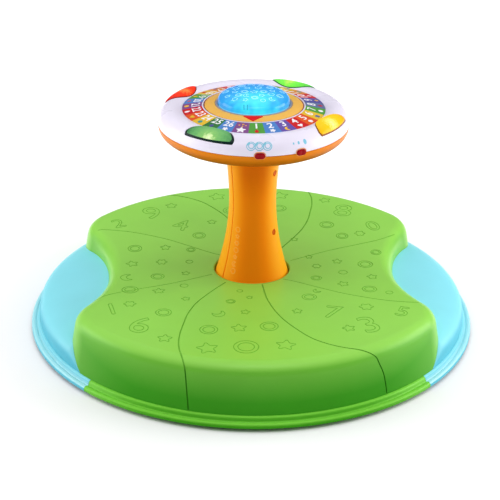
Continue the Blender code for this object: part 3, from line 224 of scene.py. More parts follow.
def moulded(name, colour, roughness=0.35, spread=0.05, depth=0.00002, scale=700, painted_shade=None, coat=0.0,
            patch=7, gloss=0.4, tint=(1, 1, 1), steep=(0.05, 0.93), front=None):
    """Moulded plastic: slightly uneven in colour and gloss, with fine grain.

    The deep colour is painted shade: it goes on the steep sides, or with front mostly on those that face the
    front and lie low.
    """
    material, shader, place = new_material(name)
    cloud = noise(place, patch, 4.0, 0.6)

    def uneven(base):
        return clouded(cloud, shade(base, 1 - spread), shade(base, 1 + spread))

    tone, shine = uneven(colour), gloss
    if painted_shade:
        # Painted shade: steep sides, and with front the low sides that face the front, take the darker
        # colour
        slope = eased(facing(place, "Z"), *steep)
        if front:
            rise = ranged(axis(place, "Z"), *SHADED_LOW_SIDES, 0.0, 0.5)
            slope = maths("MAXIMUM", maths("MAXIMUM", slope, eased(facing(place, "Y"), *front)), rise)
        tone = blended(slope, uneven(painted_shade), tone)
        shine = ranged(slope, 0.0, 1.0, 0.2 * gloss, gloss)
    wear = spotted(noise(place, 23, 3.0), roughness - 0.05, roughness + 0.05)
    wire(shader, {"Base Color": tone, "Roughness": wear, "Specular IOR Level": shine, "Specular Tint": tint,
                  "Coat Weight": coat, "Coat Roughness": 0.12, "Normal": grain(place, scale, depth)})
    return material


def lit(name, lamp, reach, stops, body, strength):
    """Translucent plastic over a lamp: its glow goes through the stops with the distance from the lamp."""
    material, shader, place = new_material(name)
    far = ranged(distance(place, lamp), 0.0, reach * MM)
    far = maths("ADD", far, spotted(noise(place, 420), -0.07, 0.07))
    wire(shader, {"Base Color": blended(far, shade(body, 1.3), shade(body, 0.8)), "Roughness": 0.2,
                  "Emission Color": ramp(far, stops), "Emission Strength": strength, "Coat Weight": 0.04,
                  "Coat Roughness": 0.08, "Specular IOR Level": 0.08, "Normal": grain(place, 900, 0.00006)})
    return material


GREEN_TINT = (0.6, 1.0, 0.35)
ORANGE_TINT = (1.0, 0.62, 0.12)
# The deep colours of the greens are painted shade on their walls and on low sides that face the front
GREEN = moulded("seat_green", (0.265, 0.64, 0.07), 0.37, painted_shade=(0.025, 0.275, 0.004), gloss=0.55,
                tint=(0.75, 1.0, 0.6), front=(-0.96, -0.05))
RIM_GREEN = moulded("rim_green", (0.165, 0.58, 0.04), 0.36, painted_shade=(0.05, 0.34, 0.01), gloss=0.45,
                    tint=GREEN_TINT, front=(-0.965, -0.62))
# Painted shade in the grooves: darker green than the seat on top, and darker still where they run down the
# walls
GROOVE_SHADE, FAINT_GROOVE_SHADE = (
    moulded(name, (0.2, 0.54, 0.055), 0.6, painted_shade=painted_shade, gloss=0.1, tint=GREEN_TINT)
    for name, painted_shade in (("seat_groove_shade", (0.018, 0.16, 0.004)), ("faint_groove_shade", (0.04, 0.27, 0.01)))
)
# Painted shade: the panels' steep sides take the darker deep colour
BLUE = moulded("panel_blue", (0.225, 0.7, 0.8), 0.42, painted_shade=(0.11, 0.5, 0.63), gloss=0.35, steep=(0.1, 0.9))
# Painted highlight: the blue rim's bead and ledge are lighter than the panel; its deep colour is painted
# shade
RIM_BLUE_HIGHLIGHT = moulded("rim_blue_highlight", (0.33, 0.74, 0.8), 0.34, painted_shade=(0.21, 0.63, 0.74), gloss=0.6)
# Painted shade: the bowl's underside, which faces down, takes the darker deep colour
BOWL_ORANGE = moulded("bowl_orange", (0.77, 0.21, 0.006), 0.36, painted_shade=(0.4, 0.085, 0.002), gloss=0.3,
                      tint=ORANGE_TINT, steep=(-0.95, 0.0))
WHITE = moulded("crown_white", (0.83, 0.78, 0.92), 0.3, 0.015, coat=0.12)
AMBER = moulded("ring_amber", (0.86, 0.47, 0.07), 0.32, coat=0.08, gloss=0.25)
# Painted shadow: a grey ring round the dome's foot stands for the shadow there
BEZEL_SHADOW_GREY = moulded("bezel_shadow_grey", (0.30, 0.27, 0.30), 0.3)
ARROW = moulded("arrow_red", (0.74, 0.005, 0.006), 0.35, gloss=0.04)
# Painted shadow: a dark red colour for the gap round the pointer ring
GAP_SHADOW_RED = moulded("ring_gap_shadow", (0.3, 0.03, 0.04), 0.4, gloss=0.2)
KNOB = moulded("knob_red", (0.32, 0.001, 0.006), 0.3, gloss=0.1)
RIM_ORANGE = moulded("knob_rim", (0.95, 0.38, 0.08), 0.35, gloss=0.2)
RUBBER = moulded("pad_rubber", (0.045, 0.045, 0.05), 0.75, 0.15, 0.00008, 500)
GREY = moulded("inner_grey", (0.16, 0.17, 0.19), 0.5, 0.1, 0.00006, 400)
NYLON = moulded("bush_nylon", (0.78, 0.76, 0.69), 0.42, 0.05)
BOARD = moulded("board_green", (0.02, 0.2, 0.08), 0.4, 0.2, 0.00004, 300, patch=60)
CELL = moulded("cell_skin", (0.7, 0.48, 0.16), 0.35, 0.12, patch=40)
ICON = moulded("icon_blue", (0.2, 0.55, 0.72), 0.4)
NUMERAL = moulded("numeral_white", (0.93, 0.91, 0.96), 0.45)
# Painted shade: the column screws are dark orange so their recesses look shadowed
SCREW_RECESS_SHADE = moulded("column_screw", (0.7, 0.11, 0.006), 0.45, 0.15, 0.00004, 600, gloss=0.15,
                     tint=ORANGE_TINT)
# Painted light: the marks glow faintly, which makes them lighter orange than the column
GLOWING_MARK_ORANGE = moulded("column_mark", (1.0, 0.38, 0.03), 0.4, gloss=0.1, tint=ORANGE_TINT)
wire(GLOWING_MARK_ORANGE.node_tree.nodes["Principled BSDF"],
     {"Emission Color": (1.0, 0.4, 0.12), "Emission Strength": 0.2})
SEAT_LOOKS = (GREEN, GROOVE_SHADE, FAINT_GROOVE_SHADE)


def column_plastic():
    """Orange plastic with painted light: darker in front, a painted shadow under the bowl, flanks painted
    lighter and yellower as if lit from the sides, and a faint painted glow.
    """
    material, shader, place = new_material("column_orange")
    cloud = noise(place, 7, 4.0, 0.6)
    middle = clouded(cloud, (1.0, 0.235, 0.003), (1.0, 0.255, 0.004))
    # Painted shadow: darker at the top, under the bowl
    middle = blended(eased(axis(place, "Z"), 0.14, 0.2), middle, (0.72, 0.145, 0.002))
    # Painted light: the flanks are lighter and yellower as if lit from the sides
    lit_flank = clouded(cloud, (1.0, 0.4, 0.006), (1.0, 0.43, 0.008))
    side_light = eased(maths("ABSOLUTE", facing(place, "X")), 0.3, 0.98)
    wear = spotted(noise(place, 23, 3.0), 0.3, 0.4)
    # The faint emission is a painted glow
    wire(shader, {"Base Color": blended(side_light, middle, lit_flank), "Roughness": wear, "Specular IOR Level": 0.12,
                  "Specular Tint": ORANGE_TINT, "Normal": grain(place, 700, 0.00002),
                  "Emission Color": (1.0, 0.16, 0.01), "Emission Strength": 0.07})
    return material


def steel():
    material, shader, place = new_material("screw_steel")
    tone = clouded(noise(place, 900, 4.0), (0.5, 0.5, 0.52), (0.7, 0.7, 0.71))
    wire(shader, {"Base Color": tone, "Metallic": 1.0, "Roughness": spotted(noise(place, 300), 0.25, 0.42),
                  "Normal": grain(place, 1500, 0.00003)})
    return material


def dome_material():
    """Blue lens with lamps under it: cyan where they shine, deeper blue towards the far side, and a painted
    reflection as a pale band at its foot.
    """
    material, shader, place = new_material("dome_blue")
    far = ranged(distance(place, (1, -25, 268)), 0.004, 0.06)
    swirl = node(place, "TexVoronoi", {"Vector": place, "Scale": 150}, "Distance", feature="SMOOTH_F1")
    light = ramp(maths("ADD", far, ranged(swirl, 0.1, 0.8, -0.12, 0.16)),
                 [(0.0, (0.07, 0.92, 0.96)), (0.2, (0.05, 0.78, 0.95)), (0.45, (0.02, 0.4, 0.85)),
                  (1.0, (0.008, 0.17, 0.68))])
    # Painted reflection: a pale band at the lens's foot
    foot_reflection = ranged(axis(place, "Z"), 0.2628, 0.2648, 0.5, 0.0)
    wire(shader, {"Base Color": (0.01, 0.1, 0.2), "Roughness": 0.16, "Specular IOR Level": 0.2,
                  "Emission Color": blended(foot_reflection, light, (0.3, 0.82, 0.95)), "Emission Strength": 0.9,
                  "Coat Weight": 0.12, "Coat Roughness": 0.06, "Normal": grain(place, 350, 0.00005)})
    return material


# Mesh helpers


def link(name, data):
    made = bpy.data.objects.new(name, data)
    scene.collection.objects.link(made)
    return made


def baked(made):
    """The mesh of an object as its modifiers or its font leave it."""
    graph = bpy.context.evaluated_depsgraph_get()
    return bpy.data.meshes.new_from_object(made.evaluated_get(graph), depsgraph=graph)


def smooth(mesh, sharp):
    mesh.shade_smooth()
    mesh.set_sharp_from_angle(angle=math.radians(sharp))


def solid(name, points, faces, materials, picks=None, sharp=35.0):
    """A mesh object from points in millimetres, with its doubles merged and its faces turned outwards."""
    mesh = bpy.data.meshes.new(name)
    mesh.from_pydata((np.asarray(points, float) * MM).tolist(), [], faces)
    for material in materials:
        mesh.materials.append(material)
    if picks is not None:
        mesh.polygons.foreach_set("material_index", picks)
    bm = bmesh.new()
    bm.from_mesh(mesh)
    bmesh.ops.remove_doubles(bm, verts=bm.verts, dist=1e-7)
    bmesh.ops.recalc_face_normals(bm, faces=bm.faces)
    bm.to_mesh(mesh)
    bm.free()
    smooth(mesh, sharp)
    return link(name, mesh)


def put(made, body, slot, *nodes):
    """Lets a piece ride on a body and hides the CAD nodes that it stands for. The slot is not used."""
    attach(made, body)
    if nodes:
        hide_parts(*nodes)
    return made


def carve(target, tool, sharp=35.0):
    """Cuts a tool from a piece at once and removes the tool."""
    modifier = target.modifiers.new(tool.name, "BOOLEAN")
    modifier.operation = "DIFFERENCE"
    modifier.solver = "MANIFOLD"
    modifier.object = tool
    old, mesh = target.data, baked(target)
    target.modifiers.clear()
    target.data = mesh
    bpy.data.meshes.remove(old)
    bpy.data.objects.remove(tool)
    smooth(mesh, sharp)
    return target


def ring_faces(rows, count, closed_rows=False, closed_ring=True):
    """Quads between rows of count points each."""
    faces = []
    for row in range(rows if closed_rows else rows - 1):
        low, high = row * count, (row + 1) % rows * count
        for here in range(count if closed_ring else count - 1):
            there = (here + 1) % count
            faces.append((low + here, low + there, high + there, high + here))
    return faces


def skin(name, rows, materials=(), kind="capped", picks=None, sharp=35.0):
    """A mesh through rows with as many points each.

    capped: the rows are rings, and flat caps close the first and the last one. looped: the last ring joins
    the first one. open: rings without caps. walled: rows join in a loop, and flat walls close their ends.
    """
    size, count = len(rows), len(rows[0])
    faces = ring_faces(size, count, kind in ("looped", "walled"), kind != "walled")
    if kind == "capped":
        faces += [tuple(range(count)), tuple(range((size - 1) * count, size * count))]
    if kind == "walled":
        faces += [tuple(range(end, size * count, count)) for end in (0, count - 1)]
    return solid(name, np.concatenate(rows), faces, materials, picks, sharp)


def level(flat, height):
    """Flat points at a height, or at a height each."""
    return np.column_stack([flat, np.broadcast_to(height, len(flat))])


def around(radius, turns, height):
    """Points about Z at turns in radians; radius and height are one value or one for each turn."""
    return np.column_stack(np.broadcast_arrays(radius * np.cos(turns), radius * np.sin(turns), height))


def revolve(name, outline, material, steps=144, span=None, sharp=35.0):
    """A closed outline of (radius, height) turned about Z, all round or from one angle to another one.

    An outline that starts and ends on the axis is open there.
    """
    if span:
        turns, kind = np.radians(np.linspace(*span, steps + 1)), "walled"
    else:
        turns, kind = np.radians(np.arange(steps) * 360.0 / steps), "looped"
    if outline[0][0] == outline[-1][0] == 0:
        kind = "open"
    return skin(name, [around(radius, turns, z) for radius, z in outline], (material,), kind, sharp=sharp)


def prism(name, outline, bottom, top, materials=()):
    """A straight prism over a flat outline of (x, y) points."""
    return skin(name, [level(outline, bottom), level(outline, top)], materials)


def block(name, low, high):
    corners = [(low[0], low[1]), (high[0], low[1]), (high[0], high[1]), (low[0], high[1])]
    return prism(name, corners, low[2], high[2])


def rod(name, start, end, radius, materials=(), sides=24):
    """A round rod between two points."""
    start, end = Vector(start), Vector(end)
    turn = (end - start).to_track_quat("Z", "Y").to_matrix()
    angles = [2 * math.pi * side / sides for side in range(sides)]
    circle = [turn @ Vector((radius * math.cos(a), radius * math.sin(a), 0)) for a in angles]
    return skin(name, [[tuple(at + step) for step in circle] for at in (start, end)], materials)


def turn_z(made, degrees):
    """Turns a mesh about Z, in its points."""
    made.data.transform(Matrix.Rotation(math.radians(degrees), 4, "Z"))
    return made


def polar(radius, degrees):
    return (radius * math.cos(math.radians(degrees)), radius * math.sin(math.radians(degrees)))


def arc(centre, radius, start, end, steps):
    """Points on an arc, in degrees, both ends included."""
    turns = np.radians(np.linspace(start, end, steps + 1))
    return [(centre[0] + radius * math.cos(t), centre[1] + radius * math.sin(t)) for t in turns]


def flattened(turns, wide, high, power):
    """Points (across, up) of a flattened round, at turns from its side to its top."""
    return [(wide * math.cos(t) ** (2 / power), high * math.sin(t) ** (2 / power)) for t in turns]


def unit(rows):
    return rows / np.linalg.norm(rows, axis=1)[:, None]


def offset(points, distance, closed=False):
    """A path moved to the right of its direction."""
    path = np.asarray(points, float)
    step = unit(np.diff(path, axis=0, append=path[:1]) if closed else np.diff(path, axis=0))
    side = np.column_stack([step[:, 1], -step[:, 0]])
    if closed:
        before, after = np.roll(side, 1, 0), side
    else:
        before, after = np.vstack([side[:1], side]), np.vstack([side, side[-1:]])
    mean = unit(before + after)
    reach = distance / np.maximum((mean * after).sum(1), 0.5)
    return [tuple(p) for p in path + mean * reach[:, None]]


def rounded(points, radius, steps=4):
    """A closed outline with its corners rounded where they turn by more than a few degrees."""
    path = np.asarray(points, float)
    out = []
    for index, here in enumerate(path):
        back, ahead = path[index - 1] - here, path[(index + 1) % len(path)] - here
        long_back, long_ahead = np.linalg.norm(back), np.linalg.norm(ahead)
        back, ahead = back / long_back, ahead / long_ahead
        bend = math.pi - math.acos(float(np.clip(back @ ahead, -1, 1)))
        if bend < math.radians(8):
            out.append(tuple(here))
            continue
        reach = min(radius * math.tan(bend / 2), 0.45 * long_back, 0.45 * long_ahead)
        first, last = here + back * reach, here + ahead * reach
        for share in np.arange(steps + 1) / steps:
            out.append(tuple((1 - share) ** 2 * first + 2 * share * (1 - share) * here + share**2 * last))
    return out


def fetched(items, key, width, kind=float):
    """A property of all of a mesh's items, with a row for each."""
    values = np.empty(len(items) * width, kind)
    items.foreach_get(key, values)
    return values.reshape(-1, width)


def keep_normals(made, surface):
    """Gives a skin the normals of its true surface, so that cuts in it don't disturb its shading."""
    mesh = made.data
    points = fetched(mesh.vertices, "co", 3) / MM
    true_points, true_normals = surface(points)
    near = np.linalg.norm(points - true_points, axis=1) < 0.05
    corners = fetched(mesh.loops, "vertex_index", 1, int)[:, 0]
    sizes = fetched(mesh.polygons, "loop_total", 1, int)[:, 0]
    face_normals = np.repeat(fetched(mesh.polygons, "normal", 3), sizes, axis=0)
    wanted = true_normals[corners]
    agree = near[corners] & ((face_normals * wanted).sum(1) > 0.94)
    mesh.normals_split_custom_set(np.where(agree[:, None], wanted, 0.0).tolist())


# Seat surface

CORNER_X = SEAT_HALF_WIDTH - CORNER_RADIUS
CORNER_Y = math.sqrt((SEAT_RADIUS - CORNER_RADIUS) ** 2 - CORNER_X**2)
WAIST_RADIUS = (CORNER_Y**2 + (WAIST_HALF_WIDTH - CORNER_X) ** 2 - CORNER_RADIUS**2) / (
    2 * (SEAT_HALF_WIDTH - WAIST_HALF_WIDTH)
)
WAIST_X = WAIST_HALF_WIDTH + WAIST_RADIUS
LOBE_TURN = math.atan2(CORNER_Y, CORNER_X)
WAIST_TURN = math.atan2(CORNER_Y, CORNER_X - WAIST_X)


def seat_outline(inset):
    """The seat's outline, drawn in by inset, anticlockwise from the +X waist."""
    waist_end, lobe = math.degrees(WAIST_TURN), math.degrees(LOBE_TURN)
    quarter = arc((WAIST_X, 0), WAIST_RADIUS + inset, 180, waist_end, 18)[:-1]
    quarter += arc((CORNER_X, CORNER_Y), CORNER_RADIUS - inset, waist_end - 180, lobe, 18)[:-1]
    quarter += arc((0, 0), SEAT_RADIUS - inset, lobe, 90, 26)
    upper = quarter + [(-x, y) for x, y in reversed(quarter[:-1])]
    return np.array(upper + [(-x, -y) for x, y in upper[1:-1]])


def saddle(y):
    """Height of the seat's level top along Y."""
    share = np.minimum(1.0, np.abs(y) / SADDLE_RUN)
    return SEAT_TOP - SADDLE_DEPTH * (1 - share * share * (3 - 2 * share))


def saddle_slope(y):
    share = np.minimum(1.0, np.abs(y) / SADDLE_RUN)
    return SADDLE_DEPTH * 6 * share * (1 - share) / SADDLE_RUN * np.sign(y)


def wall_turn(top):
    """Where the straight wall meets the shoulder's arc, as the arc's angle, for a top height."""
    rise = top - SHOULDER_RADIUS - SHELL_FOOT
    reach = np.hypot(SHOULDER_IN, rise)
    return np.pi / 2 - (np.arctan2(rise, SHOULDER_IN) + np.arcsin(SHOULDER_RADIUS / reach))


def edge_of(plan):
    """For points in plan: the distance in from the outline and the way out."""
    ax, ay = np.abs(plan).T
    turn = np.arctan2(ay - CORNER_Y, ax - CORNER_X)
    in_corner = (turn >= WAIST_TURN - math.pi) & (turn <= LOBE_TURN)
    part = np.where(np.arctan2(ay, ax) >= LOBE_TURN, 0, np.where(in_corner, 1, 2))
    away = np.abs(plan) - np.array([(0, 0), (CORNER_X, CORNER_Y), (WAIST_X, 0)])[part]
    radius = np.array([SEAT_RADIUS, CORNER_RADIUS, -WAIST_RADIUS])[part]
    reach = np.maximum(np.hypot(*away.T), 1e-6) * np.sign(radius)
    return radius - reach, away / reach[:, None] * np.sign(plan + 1e-12)


def seat_surface(points):
    """The seat's outside over points: the points on it and their normals."""
    plan = np.asarray(points, float)[:, :2]
    inset, out = edge_of(plan)
    end_y = plan[:, 1] - out[:, 1] * np.maximum(0, SHOULDER_IN - inset)
    top = saddle(end_y)
    start = wall_turn(top)
    turn = np.arccos(np.clip((SHOULDER_IN - inset) / SHOULDER_RADIUS, 0, np.cos(start)))
    foot_in = SHOULDER_IN - SHOULDER_RADIUS * np.cos(start)
    meet_z = top - SHOULDER_RADIUS + SHOULDER_RADIUS * np.sin(start)
    wall_z = SHELL_FOOT + (meet_z - SHELL_FOOT) * inset / foot_in
    round_z = top - SHOULDER_RADIUS + SHOULDER_RADIUS * np.sin(turn)
    flat = inset >= SHOULDER_IN
    height = np.select([flat, inset < foot_in], [saddle(plan[:, 1]), wall_z], round_z)
    along = np.column_stack([-out[:, 1], out[:, 0]])
    tilt = -saddle_slope(end_y) * along[:, 1] * np.sin(turn)
    normal = np.column_stack([out * np.cos(turn)[:, None] + along * tilt[:, None], np.sin(turn)])
    upright = np.column_stack([np.zeros(len(plan)), -saddle_slope(plan[:, 1]), np.ones(len(plan))])
    return level(plan, height), unit(np.where(flat[:, None], upright, normal))


TOP_EDGE = seat_outline(SHOULDER_IN)
TOP_Z = saddle(TOP_EDGE[:, 1])
WAY_OUT = (seat_outline(0) - TOP_EDGE) / SHOULDER_IN
SHOULDER_START = wall_turn(TOP_Z)


def beyond(run, height):
    """A ring that lies a run outside the edge of the seat's level top."""
    return level(TOP_EDGE + WAY_OUT * np.broadcast_to(run, len(TOP_EDGE))[:, None], height)


def shoulder(radius, turn):
    """A ring on the seat's shoulder with this radius, at a turn from its side."""
    return beyond(radius * np.cos(turn), TOP_Z - SHOULDER_RADIUS + radius * np.sin(turn))


def shoulder_turns(count):
    return [SHOULDER_START + (math.pi / 2 - SHOULDER_START) * share for share in np.linspace(0, 1, count)]


def seat_shell_rings():
    """Rings of the seat's closed shell: up the wall, over the shoulder and top, down the hole and back."""
    reach = np.linalg.norm(TOP_EDGE, axis=1)
    way = TOP_EDGE / reach[:, None]

    def deck(share, radius, depth=0.0):
        plan = TOP_EDGE * ((1 - share) + share * radius / reach)[:, None]
        return level(plan, saddle(plan[:, 1]) - depth)

    wall_run = SHOULDER_IN - SHOULDER_RADIUS * np.cos(SHOULDER_START)
    wall_rise = TOP_Z - SHOULDER_RADIUS + SHOULDER_RADIUS * np.sin(SHOULDER_START) - SHELL_FOOT
    rings = [beyond(SHOULDER_IN - wall_run * s, SHELL_FOOT + wall_rise * s) for s in (0, 0.25, 0.5, 0.75)]
    rings += [shoulder(SHOULDER_RADIUS, turn) for turn in shoulder_turns(13)]
    rings += [deck(share, HOLE_RADIUS + HOLE_LIP) for share in np.linspace(0, 1, 26)[1:]]
    lip_z = saddle(way[:, 1] * HOLE_RADIUS) - HOLE_LIP
    for turn in np.radians((30, 60, 90)):
        radius = HOLE_RADIUS + HOLE_LIP * (1 - math.sin(turn))
        rings.append(level(way * radius, lip_z + HOLE_LIP * math.cos(turn)))
    rings += [level(way * radius, SHELL_FOOT) for radius in (HOLE_RADIUS, HOLE_RADIUS + WALL)]
    rings += [deck(share, HOLE_RADIUS + WALL, WALL) for share in (1, 0.66, 0.33, 0)]
    rings += [shoulder(SHOULDER_RADIUS - WALL, turn) for turn in np.radians((60, 30, 10))]
    rings.append(beyond(SHOULDER_IN - WALL, SHELL_FOOT))
    return rings


def seat_block():
    """The seat's outside as a closed block, a little grown, for cutting the side panels."""
    growth, low, high = 0.08, -10.0, 120.0
    rings = [beyond(SHOULDER_IN + growth, height) for height in (low, SHELL_FOOT)]
    rings += [shoulder(SHOULDER_RADIUS + growth, turn) for turn in shoulder_turns(9)]
    return skin("seat_block", rings + [beyond(0.0, high)], (BLUE, RIM_BLUE_HIGHLIGHT))


def rim_outline():
    """The ledge, its channel and the rounded bead at the edge, and back inside under them."""
    outer = [(SEAT_RADIUS, LEDGE_Z), (SEAT_RADIUS + 1.2, LEDGE_Z - 0.2), (SEAT_RADIUS + 2.2, LEDGE_Z - 0.9)]
    outer += [(246.9, 11.7), (247.4, 10.1), (248.0, 8.9), (248.5, 8.7)]
    outer += arc((BASE_RADIUS - BEAD_RADIUS, BEAD_TOP - BEAD_RADIUS), BEAD_RADIUS, 121, 0, 10)
    inner = [(BASE_RADIUS - WALL, RIM_BOTTOM), (BASE_RADIUS - WALL, BEAD_TOP - WALL), (248.6, 6.4)]
    inner += [(SEAT_RADIUS - 1.2, LEDGE_Z - WALL), (SEAT_RADIUS - 1.2, LEDGE_Z)]
    return outer + [(BASE_RADIUS, RIM_BOTTOM)] + inner


def make_seat():
    seat = skin("seat_skin", seat_shell_rings(), SEAT_LOOKS, "looped")
    for group in groove_groups():
        carve(seat, group)
    keep_normals(seat, seat_surface)
    put(seat, "seat", "seat_green", "seat_shell")
    half = 90 - RIM_BREAK - math.degrees(GAP / 2 / SEAT_RADIUS)
    for facing_turn, place in ((90, "back"), (-90, "front")):
        span = (facing_turn - half, facing_turn + half)
        put(revolve(f"seat_rim_{place}", rim_outline(), RIM_GREEN, 96, span, 50), "seat", "seat_green")


# Plain shapes and numbers as closed outlines


def star(radius, points=5, inner=0.45):
    reaches = (radius, radius * inner)
    corners = [polar(reaches[index % 2], 90 + index * 180 / points) for index in range(2 * points)]
    return np.array(rounded(corners, radius * 0.12, 3))


def circle(radius, steps=40):
    return np.array([polar(radius, index * 360 / steps) for index in range(steps)])


def moon(radius):
    outer = arc((0, 0), radius, 50, 310, 20)
    inner = arc((radius * 0.62, 0), radius * 0.78, 258, 102, 14)
    return np.array(rounded(outer + inner, radius * 0.1, 2))


def flower(radius, petals=6):
    turns = np.radians(np.arange(72) * 5.0)
    reach = radius * (0.82 + 0.18 * np.cos(petals * turns))
    return around(reach, turns, 0)[:, :2]


def square(size):
    return np.array(rounded([(-size, -size), (size, -size), (size, size), (-size, size)], size * 0.3)) * 0.8


def diamond(size):
    corners = [(0, -size * 1.1), (size * 0.8, 0), (0, size * 1.1), (-size * 0.8, 0)]
    return np.array(rounded(corners, size * 0.1))


def heart(size):
    turns = np.radians(np.arange(0, 360, 8))
    y = 13 * np.cos(turns) - 5 * np.cos(2 * turns) - 2 * np.cos(3 * turns) - np.cos(4 * turns)
    return np.column_stack([16 * np.sin(turns) ** 3, y]) * size / 16


def drop(size):
    turns = np.radians(np.arange(0, 360, 8))
    return np.column_stack([np.sin(turns) * np.sin(turns / 2) * size * 0.9, np.cos(turns) * size])


def leaf(size):
    right = arc((-size * 0.75, 0), size * 1.25, -53, 53, 10)
    return np.array(right + arc((size * 0.75, 0), size * 1.25, 127, 233, 10)[1:-1])


def font_mesh(text, **settings):
    """The mesh of a text in the built-in font, in the font's own units."""
    curve = bpy.data.curves.new("numeral", "FONT")
    curve.body = text
    for key, value in settings.items():
        setattr(curve, key, value)
    holder = link("numeral", curve)
    mesh = baked(holder)
    bpy.data.objects.remove(holder)
    bpy.data.curves.remove(curve)
    return mesh


def numeral_loops(text, height):
    """Outlines of a numeral as closed loops of points, centred, of this height."""
    mesh = font_mesh(text, fill_mode="NONE", resolution_u=5, offset=0.022)
    points = np.array([tuple(vertex.co)[:2] for vertex in mesh.vertices])
    links = {}
    for edge in mesh.edges:
        first, second = edge.vertices
        links.setdefault(first, []).append(second)
        links.setdefault(second, []).append(first)
    bpy.data.meshes.remove(mesh)
    loops, seen = [], set()
    for start in sorted(links):
        if start in seen:
            continue
        loop, here, before = [start], links[start][0], start
        while here != start:
            loop.append(here)
            here, before = next(n for n in links[here] if n != before), here
        seen.update(loop)
        loops.append(points[loop])
    low = np.min([loop.min(0) for loop in loops], 0)
    high = np.max([loop.max(0) for loop in loops], 0)
    return [(loop - (low + high) / 2) * height / (high[1] - low[1]) for loop in loops]


OUTLINES = {
    "star": star, "moon": moon, "flower": flower, "square": square, "diamond": diamond, "heart": heart,
    "drop": drop, "leaf": leaf,
    "ring": lambda size: circle(size, 28),
    "disc": lambda size: circle(size * 0.85),
    "blossom": lambda size: flower(size, 5),
    "sun": lambda size: star(size, 10, 0.72),
}


def turned_about(points, degrees, at):
    """Flat points turned about the origin and then moved."""
    turn = math.radians(degrees)
    spin = np.array([[math.cos(turn), -math.sin(turn)], [math.sin(turn), math.cos(turn)]])
    return points @ spin.T + np.asarray(at)


def shape_loops(kind, size, turn=0, at=(0, 0)):
    """The outlines of a shape or number, turned and placed."""
    if kind.isdigit():
        flat = numeral_loops(kind, size)
    elif kind == "rings":
        flat = [circle(size), circle(size * 0.66)]
    else:
        flat = [OUTLINES[kind](size)]
    return [turned_about(loop, turn, at) for loop in flat]


# Tubes along paths on a surface


def spline_through(points):
    """A smooth open path through the points (Catmull-Rom)."""
    path = np.asarray(points, float)
    padded = np.vstack([2 * path[:1] - path[1:2], path, 2 * path[-1:] - path[-2:-1]])
    out = []
    for a, b, c, d in zip(padded, padded[1:], padded[2:], padded[3:]):
        for t in np.linspace(0, 1, 10, endpoint=False):
            square_part, cube_part = 2 * a - 5 * b + 4 * c - d, 3 * b - a - 3 * c + d
            out.append(0.5 * (2 * b + (c - a) * t + square_part * t**2 + cube_part * t**3))
    return np.array(out + [path[-1]])


def draped(plan, closed):
    """A flat path laid on the seat at even spacing, as a path for tubes()."""
    path = np.vstack([plan, plan[:1]]) if closed else np.asarray(plan, float)
    fine = [path[:1]]
    for start, end in zip(path, path[1:]):
        pieces = max(1, int(np.linalg.norm(end - start) / 0.2))
        fine.append(start + (end - start) * np.linspace(0, 1, pieces + 1)[1:, None])
    points, normals = seat_surface(np.concatenate(fine))
    run = np.concatenate([[0], np.cumsum(np.linalg.norm(np.diff(points, axis=0), axis=1))])
    wanted = np.linspace(0, run[-1], max(4, int(run[-1] / 1.6)) + 1)
    if closed:
        wanted = wanted[:-1]

    def even(values):
        return np.column_stack([np.interp(wanted, run, values[:, part]) for part in range(3)])

    return even(points), unit(even(normals)), closed


def tube(points, normals, closed, radius, sides, squash):
    """Points and faces of a closed tube along a path on a surface."""
    tangent = np.roll(points, -1, 0) - np.roll(points, 1, 0) if closed else np.gradient(points, axis=0)
    tangent = unit(tangent)
    across = unit(np.cross(tangent, normals))
    up = np.cross(across, tangent)
    turns = (np.arange(sides) * 2 * math.pi / sides)[None, :, None]
    away = np.cos(turns) * across[:, None] + squash * np.sin(turns) * up[:, None]
    faces = ring_faces(len(points), sides, closed)
    if not closed:
        faces += [tuple(range(sides)), tuple(range((len(points) - 1) * sides, len(points) * sides))]
    return (points[:, None] + radius * away).reshape(-1, 3), faces


def tubes(name, paths, materials, radius, pick=0, sides=8, squash=1.0):
    """One mesh of separate tubes; each path is (points, normals, closed)."""
    all_points, all_faces, base = [], [], 0
    for path in paths:
        points, faces = tube(*path, radius, sides, squash)
        all_points.append(points)
        all_faces += [tuple(base + corner for corner in face) for face in faces]
        base += len(points)
    return solid(name, np.concatenate(all_points), all_faces, materials, [pick] * len(all_faces), 60)


# Grooves: part lines and shallow outlined shapes in the seat's top

FRONT_SEAMS = [
    [(-31.5, -40.0), (-43.5, -58.3), (-54.9, -77.3), (-65.2, -96.9), (-73.7, -121.4), (-78.7, -145.7),
     (-82.3, -167.0), (-83.6, -187.0), (-82.2, -204.0), (-79.0, -217.5), (-76.0, -226.4), (-74.0, -232.4)],
    [(9.6, -47.0), (14.1, -92.0), (26.2, -132.8), (48.3, -170.3), (65.7, -188.0), (88.3, -200.2),
     (107.0, -203.0), (121.0, -203.0), (128.5, -202.2), (131.8, -203.2), (133.0, -204.4)],
    [(34.0, -32.0), (46.9, -38.6), (74.0, -57.0), (101.3, -74.4), (137.4, -90.6), (165.0, -97.5),
     (182.0, -99.5)],
    [(46.0, 17.0), (89.3, 39.9), (126.4, 55.3), (152.0, 66.0), (166.0, 74.5), (176.0, 84.0)],
]


def listed(text):
    """Rows of a kind and its numbers, from text with a comma after each row."""
    rows = [row.split() for row in text.split(",")]
    return [(kind, *map(float, numbers)) for kind, *numbers in rows]


